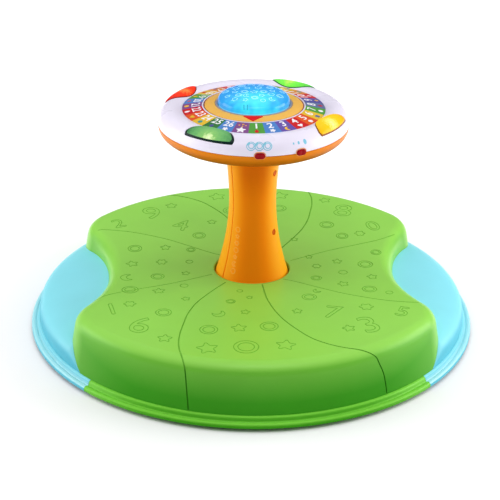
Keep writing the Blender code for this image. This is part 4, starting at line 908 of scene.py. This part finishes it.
# Each outlined shape on the seat: kind, place in plan, size and turn
SHAPES = listed("""star -54 -198 13.5 8, rings -14 -196 13 0, star 27 -193 12.5 -10, rings -52 -158 9.5 0,
star -20 -155 10 4, rings 12 -152 9.5 0, moon -41 -122 7 120, star -12 -119 6.5 -12, rings -27 -92 5 0,
star -6 -82 4.6 10, ring -16 -64 3.4 0, 3 118 -150 34 16, 7 83 -121 28 -14, 5 158 -121 22 -22,
rings 60 -82 8 0, star 96 -158 8.5 14, star 44 -118 7 0, flower 120 -109 8 0, rings 129 -62 8 0,
star 101 -47 8 18, rings 72 -30 6 0, star 136 -28 7.5 6, ring 104 -15 5 0, flower 75 2 5.5 0,
rings 132 6 8.5 0, star 100 14 7 -8, moon 70 -66 4.5 40, ring 150 -72 4 0, 6 -124 -146 34 -14,
1 -156 -108 26 12, rings -100 -118 8.5 0, star -98 -176 9.5 -6, flower -137 -96 7 0, star -76 -84 6 12,
rings -138 -58 9 0, star -106 -62 8.5 4, ring -78 -48 4.5 0, moon -142 -24 8 10, rings -108 -22 7.5 0,
star -76 -14 6 -10, star -138 12 8.5 16, flower -104 16 6.5 0, ring -72 16 4 0, rings -136 50 8 0,
star -100 52 7.5 0, rings -70 46 5 0, 9 -118 146 34 10, 4 -82 110 28 -12, 2 -158 116 22 20,
rings -60 82 7.5 0, star -44 118 7 0, star -94 168 9 0, 8 120 150 34 -12, 0 152 104 24 14,
rings 96 108 8.5 0, star 100 182 9 8, flower 134 84 6.5 0, star 54 70 5.5 0, star 44 198 13 0,
rings 4 196 13 0, star -36 196 12.5 10, rings 40 158 9.5 0, star 8 155 10 -6, rings -20 152 9.5 0,
moon 30 122 7 -40, star 2 119 6.5 0, rings 14 90 5 0, ring -8 70 3.6 0, star 68 26 5.5 0,
rings 112 78 7 0, rings 148 36 6 0""")


def groove_groups():
    """Tubes to cut from the seat's skin: the part lines, front and back, then the outlined shapes."""
    seams = [np.array(seam) * sign for seam in FRONT_SEAMS for sign in (1, -1)]
    lines = [draped(spline_through(seam), False) for seam in seams]
    loops = [loop for kind, *at, size, turn in SHAPES for loop in shape_loops(kind, size, turn, at)]
    shapes = [draped(loop, True) for loop in loops]
    return [
        tubes("deep_lines", lines[:4], SEAT_LOOKS, 0.7, SEAT_LOOKS.index(GROOVE_SHADE)),
        tubes("faint_lines", lines[4:], SEAT_LOOKS, 0.45, SEAT_LOOKS.index(FAINT_GROOVE_SHADE)),
        tubes("outlined_shapes", shapes, SEAT_LOOKS, 0.45, SEAT_LOOKS.index(FAINT_GROOVE_SHADE)),
    ]


# Side panels


def panel_rise(radius):
    """How high a side panel stands over the ledge."""
    return PANEL_RISE * max(0.0, (SEAT_RADIUS - radius) / 80.0) ** 0.2


def make_side_panels():
    """Each panel rises steeply from the ledge and runs down to it towards its ends."""
    run = SEAT_RADIUS - WAIST_HALF_WIDTH + SHOULDER_IN
    radii = [SEAT_RADIUS - run * (1 - step / 34) ** 2.5 for step in range(34)]
    half = RIM_BREAK - math.degrees(GAP / 2 / SEAT_RADIUS)
    turns = np.linspace(-half, half, 151)
    fade = 1 - np.clip((np.abs(turns) - 33.0) / 6.5, 0, 1) ** 1.5
    outline = [(radius, LEDGE_Z, panel_rise(radius)) for radius in radii]
    outline += [(radius, height, 0) for radius, height in rim_outline()[:-1]]
    outline += [(radius, LEDGE_Z - WALL, panel_rise(radius)) for radius in reversed(radii[:-8])]
    # These rows of the rim take the lighter blue, a painted highlight
    rim = range(len(radii) + 3, len(radii) + 15)
    picks = np.repeat([int(row in rim) for row in range(len(outline))], len(turns) - 1).tolist() + [0, 0]
    for middle, place in ((0, "right"), (180, "left")):
        way = np.radians(turns + middle)
        rows = [around(radius, way, low + rise * fade) for radius, low, rise in outline]
        panel = skin(f"side_panel_skin_{place}", rows, (BLUE, RIM_BLUE_HIGHLIGHT), "walled", picks, 50)
        put(carve(panel, seat_block(), 50), "seat", "panel_blue", f"side_panel_{place}")


# Column


def column_radius(height):
    below = np.clip((COLUMN_WAIST_Z - height) / 96.0, 0, None)
    above = np.clip((height - COLUMN_WAIST_Z) / 52.7, 0, None)
    return COLUMN_WAIST + 15.9 * below**2 + 4.0 * above**1.3


def make_column():
    """Two shells whose edges are eased at their seams and at both ends."""
    low, high = COLUMN_LOW, COLUMN_HIGH
    heights = [low, low + 0.25, low + 0.8, *np.linspace(low + 4, high - 3, 44), high - 0.7, high - 0.2, high]
    end_ease = [0.5, 0.15] + [0.0] * (len(heights) - 4) + [0.15, 0.5]
    near = [0.2, 0.5, 1.0, 1.7, 2.8]
    turns = np.array(near + list(np.linspace(4.5, 175.5, 58)) + [180 - n for n in reversed(near)])
    seam_ease = np.array([1.0, 0.6, 0.25, 0.06] + [0.0] * 60 + [0.06, 0.25, 0.6, 1.0])
    inside = [(COLUMN_BORE, high), (COLUMN_BORE, high - WALL)]
    inside += [(column_radius(z) - WALL, z) for z in np.linspace(high - WALL, low + WALL, 20)]
    inside += [(COLUMN_BORE, low + WALL), (COLUMN_BORE, low)]
    for name, start in (("front", COLUMN_SEAM - 180), ("rear", COLUMN_SEAM)):
        way = np.radians(turns + start)
        rows = [around(column_radius(z) - ease - seam_ease, way, z) for z, ease in zip(heights, end_ease)]
        rows += [around(radius, way, z) for radius, z in inside]
        shell = skin(f"column_skin_{name}", rows, (ORANGE,), "walled", sharp=40)
        for height in (115.0, 186.5) if name == "front" else ():
            radius = float(column_radius(height))
            ends = [(*polar(radius + step, COLUMN_SCREWS), height) for step in (-2.2, 6)]
            carve(shell, rod("recess", *ends, 3.6, (ORANGE,)))
        put(shell, "base", "column_orange", f"column_{name}_shell")


def make_column_marks():
    """Small raised outlines low on the column's left side."""
    paths = []
    for index, kind in enumerate("ring star flower ring star moon ring".split()):
        for flat in shape_loops(kind, 2.8):
            z = 121 - 8 * index + flat[:, 1]
            radius = column_radius(z)
            turns = math.radians(-127.0) + flat[:, 0] / radius
            paths.append((around(radius, turns, z), around(1.0, turns, 0.0), True))
    put(tubes("column_marks", paths, (GLOWING_MARK_ORANGE,), 0.55, squash=0.7), "base", "column_orange")


# Wheel head


def bowl_path():
    """The bowl's outside from its edge in to the neck and down the neck's flare."""
    span = HEAD_RADIUS - NECK_RADIUS
    last = math.acos((NECK_FLARE / span) ** (BOWL_POWER / 2))
    turns = [last * step / 30 for step in range(31)]
    path = [(NECK_RADIUS + x, SEAM_Z - z) for x, z in flattened(turns, span, BOWL_DEPTH, BOWL_POWER)]
    high = path[-1][1] - NECK_Z
    for turn in np.radians((75, 60, 45, 30, 15, 0)):
        path.append((NECK_RADIUS + NECK_FLARE * (1 - math.cos(turn)), NECK_Z + high * math.sin(turn)))
    return path


def make_bowl():
    outside = bowl_path()
    outside[0] = (HEAD_RADIUS, SEAM_Z)
    floor_z, boss = NECK_Z + WALL, NECK_BORE + WALL
    outline = [(HEAD_RADIUS - 0.5, SEAM_Z), (HEAD_RADIUS, SEAM_Z - 0.5)] + outside[2:]
    outline += [(NECK_BORE, NECK_Z), (NECK_BORE, NECK_INNER_TOP), (boss, NECK_INNER_TOP), (boss, floor_z)]
    outline.append((NECK_RADIUS - WALL, floor_z))
    outline += [(r, z) for r, z in reversed(offset(outside, WALL)[2:-2]) if z > floor_z + 0.5]
    outline.append((HEAD_RADIUS - WALL, SEAM_Z))
    bowl = turn_z(revolve("bowl_skin", outline, BOWL_ORANGE, 160), YAW)
    tools = [block("bay", (-25.05, DOOR_LOW[1] - GAP, NECK_Z), (25.05, DOOR_HIGH[1] + GAP, SEAM_Z + 2))]
    tools.append(block("tab", (22, 43, NECK_Z), (35.05, 55.6, SEAM_Z)))
    for slot in range(-2, 3):
        half = math.sqrt(1 - (slot / 3) ** 2) * 15
        across = slot * 5 - 55
        tools.append(block("speaker_slot", (-half, across - 0.83, NECK_Z), (half, across + 0.83, 226)))
    for angle in (-90, 0, 180):
        at = polar(93, angle)
        tools.append(rod("recess", (*at, NECK_Z), (*at, 233), 3.5, sides=28))
    for tool in tools:
        carve(bowl, turn_z(tool, YAW))
    put(bowl, "base", "column_orange", "head_lower_housing")


def make_battery_door():
    """A thin plate with rounded edges, a tab for its screw and finger grooves underneath."""
    (left, near, low), (right, far, high) = DOOR_LOW, DOOR_HIGH
    outline = [(left, near), (right, near), (right, 43.3), (34.75, 43.3), (34.75, 55.3), (right, 55.3)]
    outline = rounded(outline + [(right, far), (left, far)], 1.2)
    rings = [level(offset(outline, -0.4, True), low), level(outline, low + 0.4), level(outline, high)]
    door = skin("battery_door_skin", rings, (BOWL_ORANGE,))
    for x in range(-18, 19, 6):
        ends = [(x, 49.3 + side, low - 0.1) for side in (-9, 9)]
        carve(door, rod("finger_groove", *ends, 0.9, (BOWL_ORANGE,), 16))
    carve(door, rod("screw_hole", (29.75, 49.3, 210), (29.75, 49.3, 230), 2.1, (BOWL_ORANGE,)))
    put(turn_z(door, YAW), "base", "column_orange", "battery_door")


def crown_round(radius):
    """The radius of the crown's round at a distance from the axis, and the height of its centre."""
    inner = radius < CROWN_CENTRE
    return np.where(inner, CROWN_INNER, CROWN_RADIUS), np.where(inner, CROWN_TOP - CROWN_INNER, CROWN_Z)


def crown_surface(points):
    """For points near the crown's outer round: the closest points on it and their normals."""
    radius = np.maximum(np.hypot(points[:, 0], points[:, 1]), 1e-6)
    size, base = crown_round(radius)
    away, rise = radius - CROWN_CENTRE, points[:, 2] - base
    reach = np.maximum(np.hypot(away, rise), 1e-6)
    side, up = away / reach, rise / reach
    out = points[:, :2] / radius[:, None]
    spots = level(out * (CROWN_CENTRE + size * side)[:, None], base + size * up)
    return spots, level(out * side[:, None], up)


def leaf_outline(growth):
    """A button's outline in plan, on +X: the rim's circle and a tighter arc inside it, with round ends."""
    outer, inner, centre = 102.0, 36.0, 115.4
    meet = (outer**2 - inner**2 + centre**2) / (2 * centre)
    outer_turn = math.degrees(math.acos(meet / outer)) * 0.93
    inner_turn = math.degrees(math.acos((meet - centre) / inner))
    inner_turn += (180 - inner_turn) * 0.07
    points = arc((0, 0), outer + growth, -outer_turn, outer_turn, 26)
    points = np.array(points + arc((centre, 0), inner + growth, inner_turn, 360 - inner_turn, 26))
    for _ in range(3):
        ahead = np.roll(points, -1, 0)
        points = np.stack([0.75 * points + 0.25 * ahead, 0.25 * points + 0.75 * ahead], 1).reshape(-1, 2)
    return points


# Each lit button: its angle, slot and lamp, its glow out from the lamp, and its body and edge colours
BUTTONS = {
    "front_left": (
        -135, "button_green", (-52.5, -88.5, 257),
        [(0.0, (1.0, 1.0, 0.72)), (0.12, (0.8, 0.95, 0.45)), (0.26, (0.28, 0.55, 0.15)),
         (0.55, (0.16, 0.42, 0.135)), (0.8, (0.1, 0.3, 0.1)), (1.0, (0.012, 0.08, 0.035))],
        (0.02, 0.1, 0.03), (0.002, 0.016, 0.014)),
    "front_right": (
        -45, "button_yellow", (79.9, -52.5, 257),
        [(0.0, (1.0, 1.0, 0.6)), (0.16, (0.98, 0.95, 0.22)), (0.36, (0.94, 0.62, 0.003)),
         (0.75, (0.92, 0.54, 0.0)), (1.0, (0.65, 0.26, 0.0))],
        (0.3, 0.12, 0.005), (0.3, 0.1, 0.002)),
    "back_right": (
        45, "button_green", (44.8, 76.6, 258),
        [(0.0, (1.0, 1.0, 0.4)), (0.12, (0.6, 0.95, 0.12)), (0.3, (0.17, 0.8, 0.05)),
         (0.75, (0.09, 0.56, 0.05)), (1.0, (0.03, 0.3, 0.05))],
        (0.05, 0.25, 0.03), (0.01, 0.14, 0.03)),
    "back_left": (
        135, "button_red", (-76.1, 45.9, 257),
        [(0.0, (1.0, 0.75, 0.4)), (0.14, (1.0, 0.32, 0.06)), (0.32, (0.9, 0.045, 0.002)),
         (0.7, (0.74, 0.02, 0.001)), (1.0, (0.5, 0.0, 0.0))],
        (0.25, 0.005, 0.003), (0.25, 0.006, 0.003)),
}
# Rings of a button's pillow: share of the outline and lift over the crown
BUTTON_PILLOW = [(1.0, -3.5), (1.0, -0.2), (0.99, 0.15), (0.97, 0.4), (0.945, 0.6), (0.9, 0.95), (0.84, 1.3),
                 (0.75, 1.65), (0.62, 2.0), (0.46, 2.25), (0.3, 2.4), (0.14, 2.47)]


def make_crown():
    lip = 0.7
    outline = [(CROWN_BORE, WELL_Z), (WELL_RADIUS, WELL_Z), (WELL_RADIUS, WELL_TOP - lip)]
    outline += arc((WELL_RADIUS + lip, WELL_TOP - lip), lip, 180, 90, 3)[1:]
    outline += arc((LABEL_INNER - lip, WELL_TOP - lip), lip, 90, 0, 3)[1:]
    outline += [(LABEL_INNER, DECK_INNER_Z), (LABEL_OUTER, DECK_OUTER_Z)]
    start = math.degrees(math.acos((LABEL_OUTER - CROWN_CENTRE) / CROWN_INNER))
    outline += arc((CROWN_CENTRE, CROWN_TOP - CROWN_INNER), CROWN_INNER, start, 90, 10)
    outline += arc((CROWN_CENTRE, CROWN_Z), CROWN_RADIUS, 90, 0, 28)[1:]
    foot = SEAM_Z + GAP
    outline += [(HEAD_RADIUS, foot + 0.4), (HEAD_RADIUS - 0.4, foot), (HEAD_RADIUS - WALL, foot)]
    outline += arc((CROWN_CENTRE, CROWN_Z), CROWN_RADIUS - WALL, 0, 90, 10)
    below = [(LABEL_OUTER, DECK_OUTER_Z), (WELL_RADIUS, WELL_Z), (CROWN_BORE, WELL_Z)]
    outline += [(radius, z - WALL) for radius, z in below]
    crown = turn_z(revolve("crown_skin", outline, WHITE, 180), YAW)
    for angle, *_ in BUTTONS.values():
        hole = prism("button_hole", leaf_outline(GAP), SEAM_Z + 4, 275, (WHITE,))
        carve(crown, turn_z(hole, angle + YAW))
    keep_normals(crown, crown_surface)
    put(crown, "base", "crown_white", "head_top_shell")


def make_buttons():
    flat = leaf_outline(0)
    middle = (flat.max(0) + flat.min(0)) / 2
    for place, (angle, slot, lamp, stops, body, edge) in BUTTONS.items():
        edge = moulded(f"edge_{place}", edge, 0.3, patch=60, gloss=0.15)
        material = lit(f"lit_{place}", lamp, 30, stops, body, 0.9)
        rings = []
        for share, lift in BUTTON_PILLOW:
            plan = middle + (flat - middle) * share
            radius = np.hypot(plan[:, 0], plan[:, 1])
            size, base = crown_round(radius)
            side = (radius - CROWN_CENTRE) / size
            up = np.sqrt(1 - side**2)
            moved = plan * (1 + max(lift, 0) * side / radius)[:, None]
            rings.append(level(moved, base + size * up + lift * (up if lift > 0 else 1.0)))
        rim = 5 if place == "front_left" else 4
        picks = [1] * rim * len(flat) + [0] * (len(rings) - 1 - rim) * len(flat) + [1, 0]
        button = skin(f"button_skin_{place}", rings, (material, edge), "capped", picks, 50)
        put(turn_z(button, angle + YAW), f"button_{place}", slot, f"button_{place}")


# Ring of printed fields

INKS = {
    "purple": (0.22, 0.07, 0.25), "green": (0.08, 0.33, 0.04), "blue": (0.07, 0.22, 0.58),
    "violet": (0.13, 0.08, 0.38), "red": (0.6, 0.005, 0.01), "orange": (0.75, 0.09, 0.01),
    "yellow": (0.78, 0.5, 0.03), "dark_green": (0.03, 0.18, 0.04), "slate": (0.12, 0.16, 0.32),
    "indigo": (0.08, 0.07, 0.32), "amber": (0.66, 0.22, 0.02), "teal": (0.04, 0.3, 0.3),
    "white": (0.9, 0.88, 0.92), "gold": (0.9, 0.52, 0.03),
}
FIELDS = """purple green blue violet red orange yellow green slate indigo red amber yellow green teal purple
red amber yellow green blue purple red orange yellow dark_green blue""".split()
MARKS = """star white, drop red, blossom white, moon gold, heart white, sun white, square slate, disc white,
diamond red, star gold, leaf white, blossom teal, moon indigo, heart gold, disc gold, sun white,
diamond white, drop indigo, square red, leaf gold, star orange, disc gold, drop white, heart yellow,
sun teal, diamond indigo, blossom white""".split(",")
# Four small stars in the first field: place along the ring, place inwards, size
SMALL_STARS = [(-3.4, 1.6, 1.5), (0.4, 3.4, 1.7), (3.6, 1.4, 1.4), (0.2, -0.4, 1.3)]
STAR_FIELD = -103.3
FIELD_STEP = 360 / len(FIELDS)
PRINT_IN, PRINT_OUT, PRINT_THICK = 57.2, 78.4, 0.85


def label_top(radius):
    return 256.93 + (PRINT_OUT - radius) * LABEL_DROP


def make_label_ring():
    inks = {name: moulded(f"ink_{name}", colour, 0.4, patch=60, gloss=0.12) for name, colour in INKS.items()}
    steps = 6
    total = len(FIELDS) * steps
    turns = np.radians(STAR_FIELD - FIELD_STEP / 2 + np.arange(total) * FIELD_STEP / steps)
    rows = []
    for radius, depth in ((PRINT_IN, 0), (PRINT_OUT, 0), (PRINT_OUT, PRINT_THICK), (PRINT_IN, PRINT_THICK)):
        rows.append(around(radius, turns, label_top(radius) - depth))
    picks = [list(INKS).index(FIELDS[here // steps]) for here in range(total)] * len(rows)
    ring = skin("label_fields", rows, list(inks.values()), "looped", picks)
    put(ring, "base", "label_print", "label_ring")
    for index, text in enumerate(MARKS):
        angle = STAR_FIELD + index * FIELD_STEP
        if index:
            print_number(index, angle)
        else:
            for dot, (*at, size) in enumerate(SMALL_STARS):
                print_shape(f"label_dot_{dot}", star(size) + at, 64.6, angle, inks["gold"])
        kind, colour = text.split()
        size, reach = (3.2, 73.6) if index else (6.4, 72.3)
        print_shape(f"label_mark_{index}", OUTLINES[kind](size), reach, angle, inks[colour])


def label_frame(radius, degrees):
    """A frame on the label: X along the ring, Y to its centre, Z up from its face."""
    out = Vector((*polar(1, degrees), 0))
    inward = Vector((-out.x, -out.y, LABEL_DROP)).normalized()
    along = Vector((-out.y, out.x, 0))
    made = Matrix((along, inward, along.cross(inward))).transposed().to_4x4()
    made.translation = Vector((*polar(radius, degrees), label_top(radius))) * MM
    return made


def print_shape(name, flat, radius, degrees, material):
    """A thin printed shape on the label."""
    made = prism(name, flat, -0.05, 0.1, (material,))
    made.data.transform(label_frame(radius, degrees))
    put(made, "base", "label_print")


def print_number(number, degrees):
    """A number on the label as a thin closed solid, fitted into its field."""
    tall, wide, thick = 9.8, 10.8, 0.2
    mesh = font_mesh(str(number), extrude=0.5, offset=0.014, resolution_u=4)
    points, faces = fetched(mesh.vertices, "co", 3), [tuple(face.vertices) for face in mesh.polygons]
    bpy.data.meshes.remove(mesh)
    low, high = points.min(0), points.max(0)
    size = high - low
    scale = tall / size[1]
    points = (points - (low + high) / 2) * (min(scale, wide / size[0]), scale, thick)
    made = solid(f"label_numeral_{number}", points, faces, (NUMERAL,))
    made.data.transform(label_frame(63.6, degrees))
    put(made, "base", "label_print")


# Dial: pointer ring, arrow and dome

# Each shape in the dome: kind, angle and radius of its place, size and turn
DOME_SHAPES = listed("""star -90 5 4 0, rings -20 11 3.2 0, flower 60 10 3.4 0, star 130 11 3.4 12,
rings -160 11 3.2 0, moon -120 17 3 30, star -62 17 3.2 20, rings -90 21 3 0, flower -30 21 3.2 0,
star 0 20 3.2 0, rings 32 21 3.2 0, star 66 21 3.2 10, moon 96 20 3.2 60, rings 126 21 3.2 0,
flower 156 21 3.2 0, star -174 21 3.2 0, rings -144 21 3 0, star -112 27 2.8 -8, ring -72 28 2.2 0,
moon -50 29 2.8 0, rings -22 30 3 0, star 4 31 3 0, flower 28 31 2.8 0, ring 50 31 2.4 0,
star 74 31 2.8 0, rings 98 31 2.8 0, star 122 31 2.8 0, moon 146 31 2.8 0, rings 172 31 3 0,
star -160 31 3 0, flower -136 30 2.8 0""")


def dome_height(radius):
    """The lens's outside over a radius: a flattened round on a short skirt."""
    share = np.clip(radius / DOME_RADIUS, 0, 1)
    return DOME_FOOT + DOME_SKIRT + DOME_RISE * (1 - share**DOME_POWER) ** (1 / DOME_POWER)


def on_dome(flat, closed):
    """Flat points set on the lens, as a path for tubes()."""
    radius = np.maximum(np.hypot(flat[:, 0], flat[:, 1]), 1e-6)
    slope = (dome_height(radius + 0.05) - dome_height(radius - 0.05)) / 0.1
    return level(flat, dome_height(radius)), unit(level(-flat * (slope / radius)[:, None], 1.0)), closed


def cone_top(radius):
    """Top of the pointer ring, which rises towards the dome."""
    return RING_TOP - 0.25 + (DIAL_RADIUS - radius) * 0.16


def make_dial():
    foot, top, edge = DOME_FOOT, cone_top(RING_IN), cone_top(RING_OUT)
    ring = [(RING_OUT, foot), (RING_OUT, edge - 0.9), (RING_OUT - 0.25, edge - 0.35)]
    ring += [(RING_OUT - 0.9, cone_top(RING_OUT - 0.9)), (RING_IN + 0.3, top), (RING_IN, top - 0.3)]
    ring.append((RING_IN - 0.2, foot))
    put(revolve("pointer_ring_skin", ring, AMBER), "dial", "ring_amber", "pointer_ring")
    # A dark red ring in the gap round the pointer ring, a painted shadow
    line = [(DIAL_RADIUS, foot), (DIAL_RADIUS, 260.7), (54.7, 260.9), (54.4, 260.9), (RING_OUT, 260.7)]
    put(revolve("ring_gap_shadow_line", line + [(RING_OUT, foot)], GAP_SHADOW_RED), "dial", "arrow_red")
    # A grey ring round the dome's foot, a painted shadow
    bezel = [(RING_IN - 0.2, foot), (RING_IN - 0.2, top - 0.1), (RING_IN - 0.5, top + 0.2)]
    bezel += [(41.4, top + 0.5), (40.6, top + 0.35)]
    bezel += [(DOME_RADIUS + 0.2, top - 0.3), (DOME_RADIUS + 0.2, foot)]
    put(revolve("dome_bezel", bezel, BEZEL_SHADOW_GREY), "dial", "inner_grey")
    flat = np.array(rounded([(43.1, -10.9), (44.3, -9.4), (53.7, 0.0), (44.3, 9.4), (43.1, 10.9)], 0.9))
    middle = np.array([46.4, 0.0])
    rows = []
    for share, lift in ((1.0, -0.3), (1.0, 0.55), (0.95, 0.8), (0.86, 0.62), (0.5, 0.62)):
        plan = middle + (flat - middle) * share
        rows.append(level(plan, cone_top(np.hypot(plan[:, 0], plan[:, 1])) + lift))
    put(turn_z(skin("arrow_skin", rows, (ARROW,)), -93.3), "dial", "arrow_red", "pointer_arrow")


def make_dome():
    wall, top_wall = 2.2, 2
    foot = DOME_FOOT + DOME_SKIRT
    turns = np.linspace(math.pi / 2, 0, 30)
    outline = [(x, foot + z) for x, z in flattened(turns, DOME_RADIUS, DOME_RISE, DOME_POWER)]
    outline[0] = (0, outline[0][1])
    outline += [(DOME_RADIUS - 0.1, foot - 2.0), (DOME_RADIUS - 0.9, DOME_FOOT + 3.2)]
    outline += [(DOME_RADIUS - 1.1, DOME_FOOT), (DOME_RADIUS - 2.6, DOME_FOOT), (DOME_RADIUS - wall, foot)]
    inner = flattened(turns[::-2][1:-1], DOME_RADIUS - wall, DOME_RISE - top_wall, DOME_POWER)
    outline += [(x, foot + z) for x, z in inner] + [(0, foot + DOME_RISE - top_wall)]
    put(revolve("dome_skin", outline, dome_material(), 128), "dial", "dome_blue", "dome_lens")
    loops = []
    for kind, angle, radius, size, turn in DOME_SHAPES:
        for flat in shape_loops(kind, size * 1.2, turn):
            loops.append(on_dome(turned_about(flat, angle + 90, polar(radius, angle)), True))
    stops = [(0.0, (0.45, 1.0, 1.0)), (0.5, (0.25, 0.72, 0.98)), (1.0, (0.16, 0.5, 0.95))]
    frost = lit("dome_outline", DOME_LAMP, 66, stops, (0.3, 0.5, 0.6), 0.75)
    put(tubes("dome_outlines", loops, (frost,), 0.22, sides=6, squash=0.5), "dial", "dome_blue")
    slots = []
    for start, angle, turn in ((35.2, -110.0, 1.8), (34.8, -104.0, 1.2)):
        shares = np.linspace(0, 1, 8)
        flat = [polar(start + (39.0 - start) * share, angle + turn * share) for share in shares]
        slots.append(on_dome(np.array(flat), False))
    stops = [(0.0, (0.0, 0.45, 0.6)), (1.0, (0.0, 0.25, 0.5))]
    dark = lit("dome_slot", DOME_LAMP, 66, stops, (0.02, 0.1, 0.2), 0.7)
    put(tubes("dome_slots", slots, (dark,), 0.45, squash=0.5), "dial", "dome_blue")


# Slide knobs, their rims and the marks over them


def on_crown(flat, degrees, closed=True):
    """Flat points laid on the crown's outer slope round a middle point, as a path for tubes()."""
    turn = np.radians(degrees) + flat[:, 0] / 102.3
    rise = math.radians(33.3) + flat[:, 1] / CROWN_RADIUS
    points = around(CROWN_CENTRE + CROWN_RADIUS * np.cos(rise), turn, CROWN_Z + CROWN_RADIUS * np.sin(rise))
    return points, around(np.cos(rise), turn, np.sin(rise)), closed


def make_marks():
    """Rings over the left knob and a row of growing dots over the right one."""
    modes = (-94.0, -89.2, -84.4)
    loops = [on_crown(flat, turn) for turn in modes for flat in (circle(4.5), circle(2.8, 30) + (0.3, 0.2))]
    loops += [on_crown(np.array(arc((0, 0), 3.6, 110, 170, 8)), turn, False) for turn in modes]
    put(tubes("mode_marks", loops, (ICON,), 0.45, squash=0.35), "base", "label_print")
    dots = []
    for turn, size in ((-68.5, 1.0), (-65.2, 1.8), (-60.9, 3.0)):
        rings = [circle(reach, 24) * (0.62, 1.0) for reach in np.arange(0.4, size + 0.01, 0.55)]
        dots += [on_crown(flat, turn) for flat in rings]
    put(tubes("volume_marks", dots, (ICON,), 0.32, squash=0.35), "base", "label_print")


def stadium(length, height):
    half = (length - height) / 2
    return np.array(arc((half, 0), height / 2, -90, 90, 14) + arc((-half, 0), height / 2, 90, 270, 14))


def on_side(flat, depth, degrees):
    """Flat points stood up on the head's side at a depth over its radius."""
    return around(HEAD_RADIUS + depth, np.radians(degrees) + flat[:, 0] / HEAD_RADIUS, KNOB_Z + flat[:, 1])


def make_knobs():
    """Each knob is a pillow with a finger groove across its middle, in a thin rim."""
    pillow = [(1.0, 0.3), (1.0, 1.2), (0.95, 1.75), (0.84, 2.1), (0.68, 2.3), (0.5, 2.38), (0.3, 2.38)]
    rims = [(13.0, 8.4, -0.4), (12.8, 8.2, 0.2), (11.6, 7.1, 0.2), (11.4, 6.9, -0.4)]
    for name, degrees in KNOB_TURNS.items():
        rings = []
        for share, depth in pillow + [(0.12, 2.36)]:
            flat = stadium(11, 6.5) * share
            groove = 0.75 * np.exp(-((flat[:, 0] / 1.5) ** 2)) * (depth > 1.5)
            rings.append(on_side(flat, depth - groove, degrees + YAW))
        knob = skin(f"{name}_knob_skin", rings, (KNOB,), sharp=50)
        put(knob, f"{name}_knob", "knob_red", f"{name}_knob")
        rows = [on_side(stadium(long, high), depth, degrees + YAW) for long, high, depth in rims]
        put(skin(f"{name}_knob_rim", rows, (RIM_ORANGE,), "looped"), "base", "column_orange")


# Room, light and camera


def numbered(stem, last):
    return [f"{stem}_{number}" for number in range(1, last + 1)]


def finish_nodes():
    """Gives each CAD node that keeps its shape its material."""
    finishes = {
        GREY: ["floor_plate", "post", "post_lock_ring", "turntable_plate", "battery_box", "speaker",
               "dial_hub", "mode_switch_body", "volume_switch_body"],
        NYLON: ["hub_bush", "dial_bush"] + numbered("roller", 6),
        RUBBER: numbered("foot_pad", 4) + [f"key_pad_{place}" for place in BUTTONS],
        SCREW_RECESS_SHADE: ["column_screw_upper", "column_screw_lower"],
        steel(): ["post_bolt", "battery_door_screw", "side_panel_left_screw", "side_panel_right_screw"]
        + [f"head_screw_{place}" for place in ("front", "right", "left")] + numbered("seat_screw", 4),
        BOARD: ["circuit_board"],
        CELL: numbered("battery_cell", 3),
    }
    for material, names in finishes.items():
        for name in names:
            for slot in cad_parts[name].material_slots:
                slot.material = material


def make_room():
    """A pale floor that glows away from the toy, and a sky that is bright above and behind it."""
    material, shader, place = new_material("floor_white")
    tone = clouded(noise(place, 3), (0.93, 0.93, 0.94), (0.95, 0.95, 0.955))
    glow = eased(distance(place, (0, 0, 0)), 0.26, 0.5, 0.0, 0.35)
    wire(shader, {"Base Color": tone, "Roughness": 0.9, "Specular IOR Level": 0.1,
                  "Emission Color": (1, 1, 1), "Emission Strength": glow})
    reach = 9000
    corners = [(-reach, -reach, 0), (reach, -reach, 0), (reach, reach, 0), (-reach, reach, 0)]
    solid("floor", corners, [(0, 1, 2, 3)], (material,))
    world = bpy.data.worlds.new("studio")
    scene.world = world
    world.use_nodes = True
    back = world.node_tree.nodes["Background"]
    way = node(back, "TexCoord", {}, "Generated")
    sky = ramp(axis(way, "Z"), [(0.0, (0.1, 0.1, 0.11)), (0.4, (0.22, 0.22, 0.23)), (0.8, (1, 1, 1))])
    wire(back, {"Color": sky, "Strength": eased(axis(way, "Y"), -0.9, 0.9, 0.72, 1.2)})


def softbox(name, place, size, power):
    """A soft light that looks at the toy; place and size in metres, power in watts."""
    lamp = bpy.data.lights.new(name, "AREA")
    lamp.shape = "RECTANGLE"
    lamp.size, lamp.size_y = size
    lamp.energy = power
    made = link(name, lamp)
    made.location = place
    made.rotation_euler = (Vector((0, 0, 0.1)) - Vector(place)).to_track_quat("-Z", "Y").to_euler()


def make_camera():
    """The camera fitted to the photograph; its place is in metres."""
    data = bpy.data.cameras.new("camera")
    data.sensor_width = 36
    data.lens = 104.76
    camera = link("camera", data)
    pan, tilt, roll = math.radians(-2.6), math.radians(64.65), 0.0115
    turn = Matrix.Rotation(pan, 4, "Z") @ Matrix.Rotation(tilt, 4, "X") @ Matrix.Rotation(roll, 4, "Z")
    camera.matrix_world = Matrix.Translation((-0.0707, -1.5060, 0.7991)) @ turn
    scene.camera = camera


ORANGE = column_plastic()
make_seat()
make_side_panels()
make_column()
make_column_marks()
make_bowl()
make_battery_door()
make_crown()
make_buttons()
make_label_ring()
make_dial()
make_dome()
make_marks()
make_knobs()
finish_nodes()
make_room()
softbox("softbox_left", (-1.5, 0.1, 0.5), (1.2, 0.9), 12.3)
softbox("softbox_right", (1.5, 0.05, 0.55), (1.2, 0.9), 16)
softbox("softbox_top", (0, -0.8, 1.9), (1.4, 0.8), 8)
make_camera()
scene.view_settings.view_transform = "Standard"
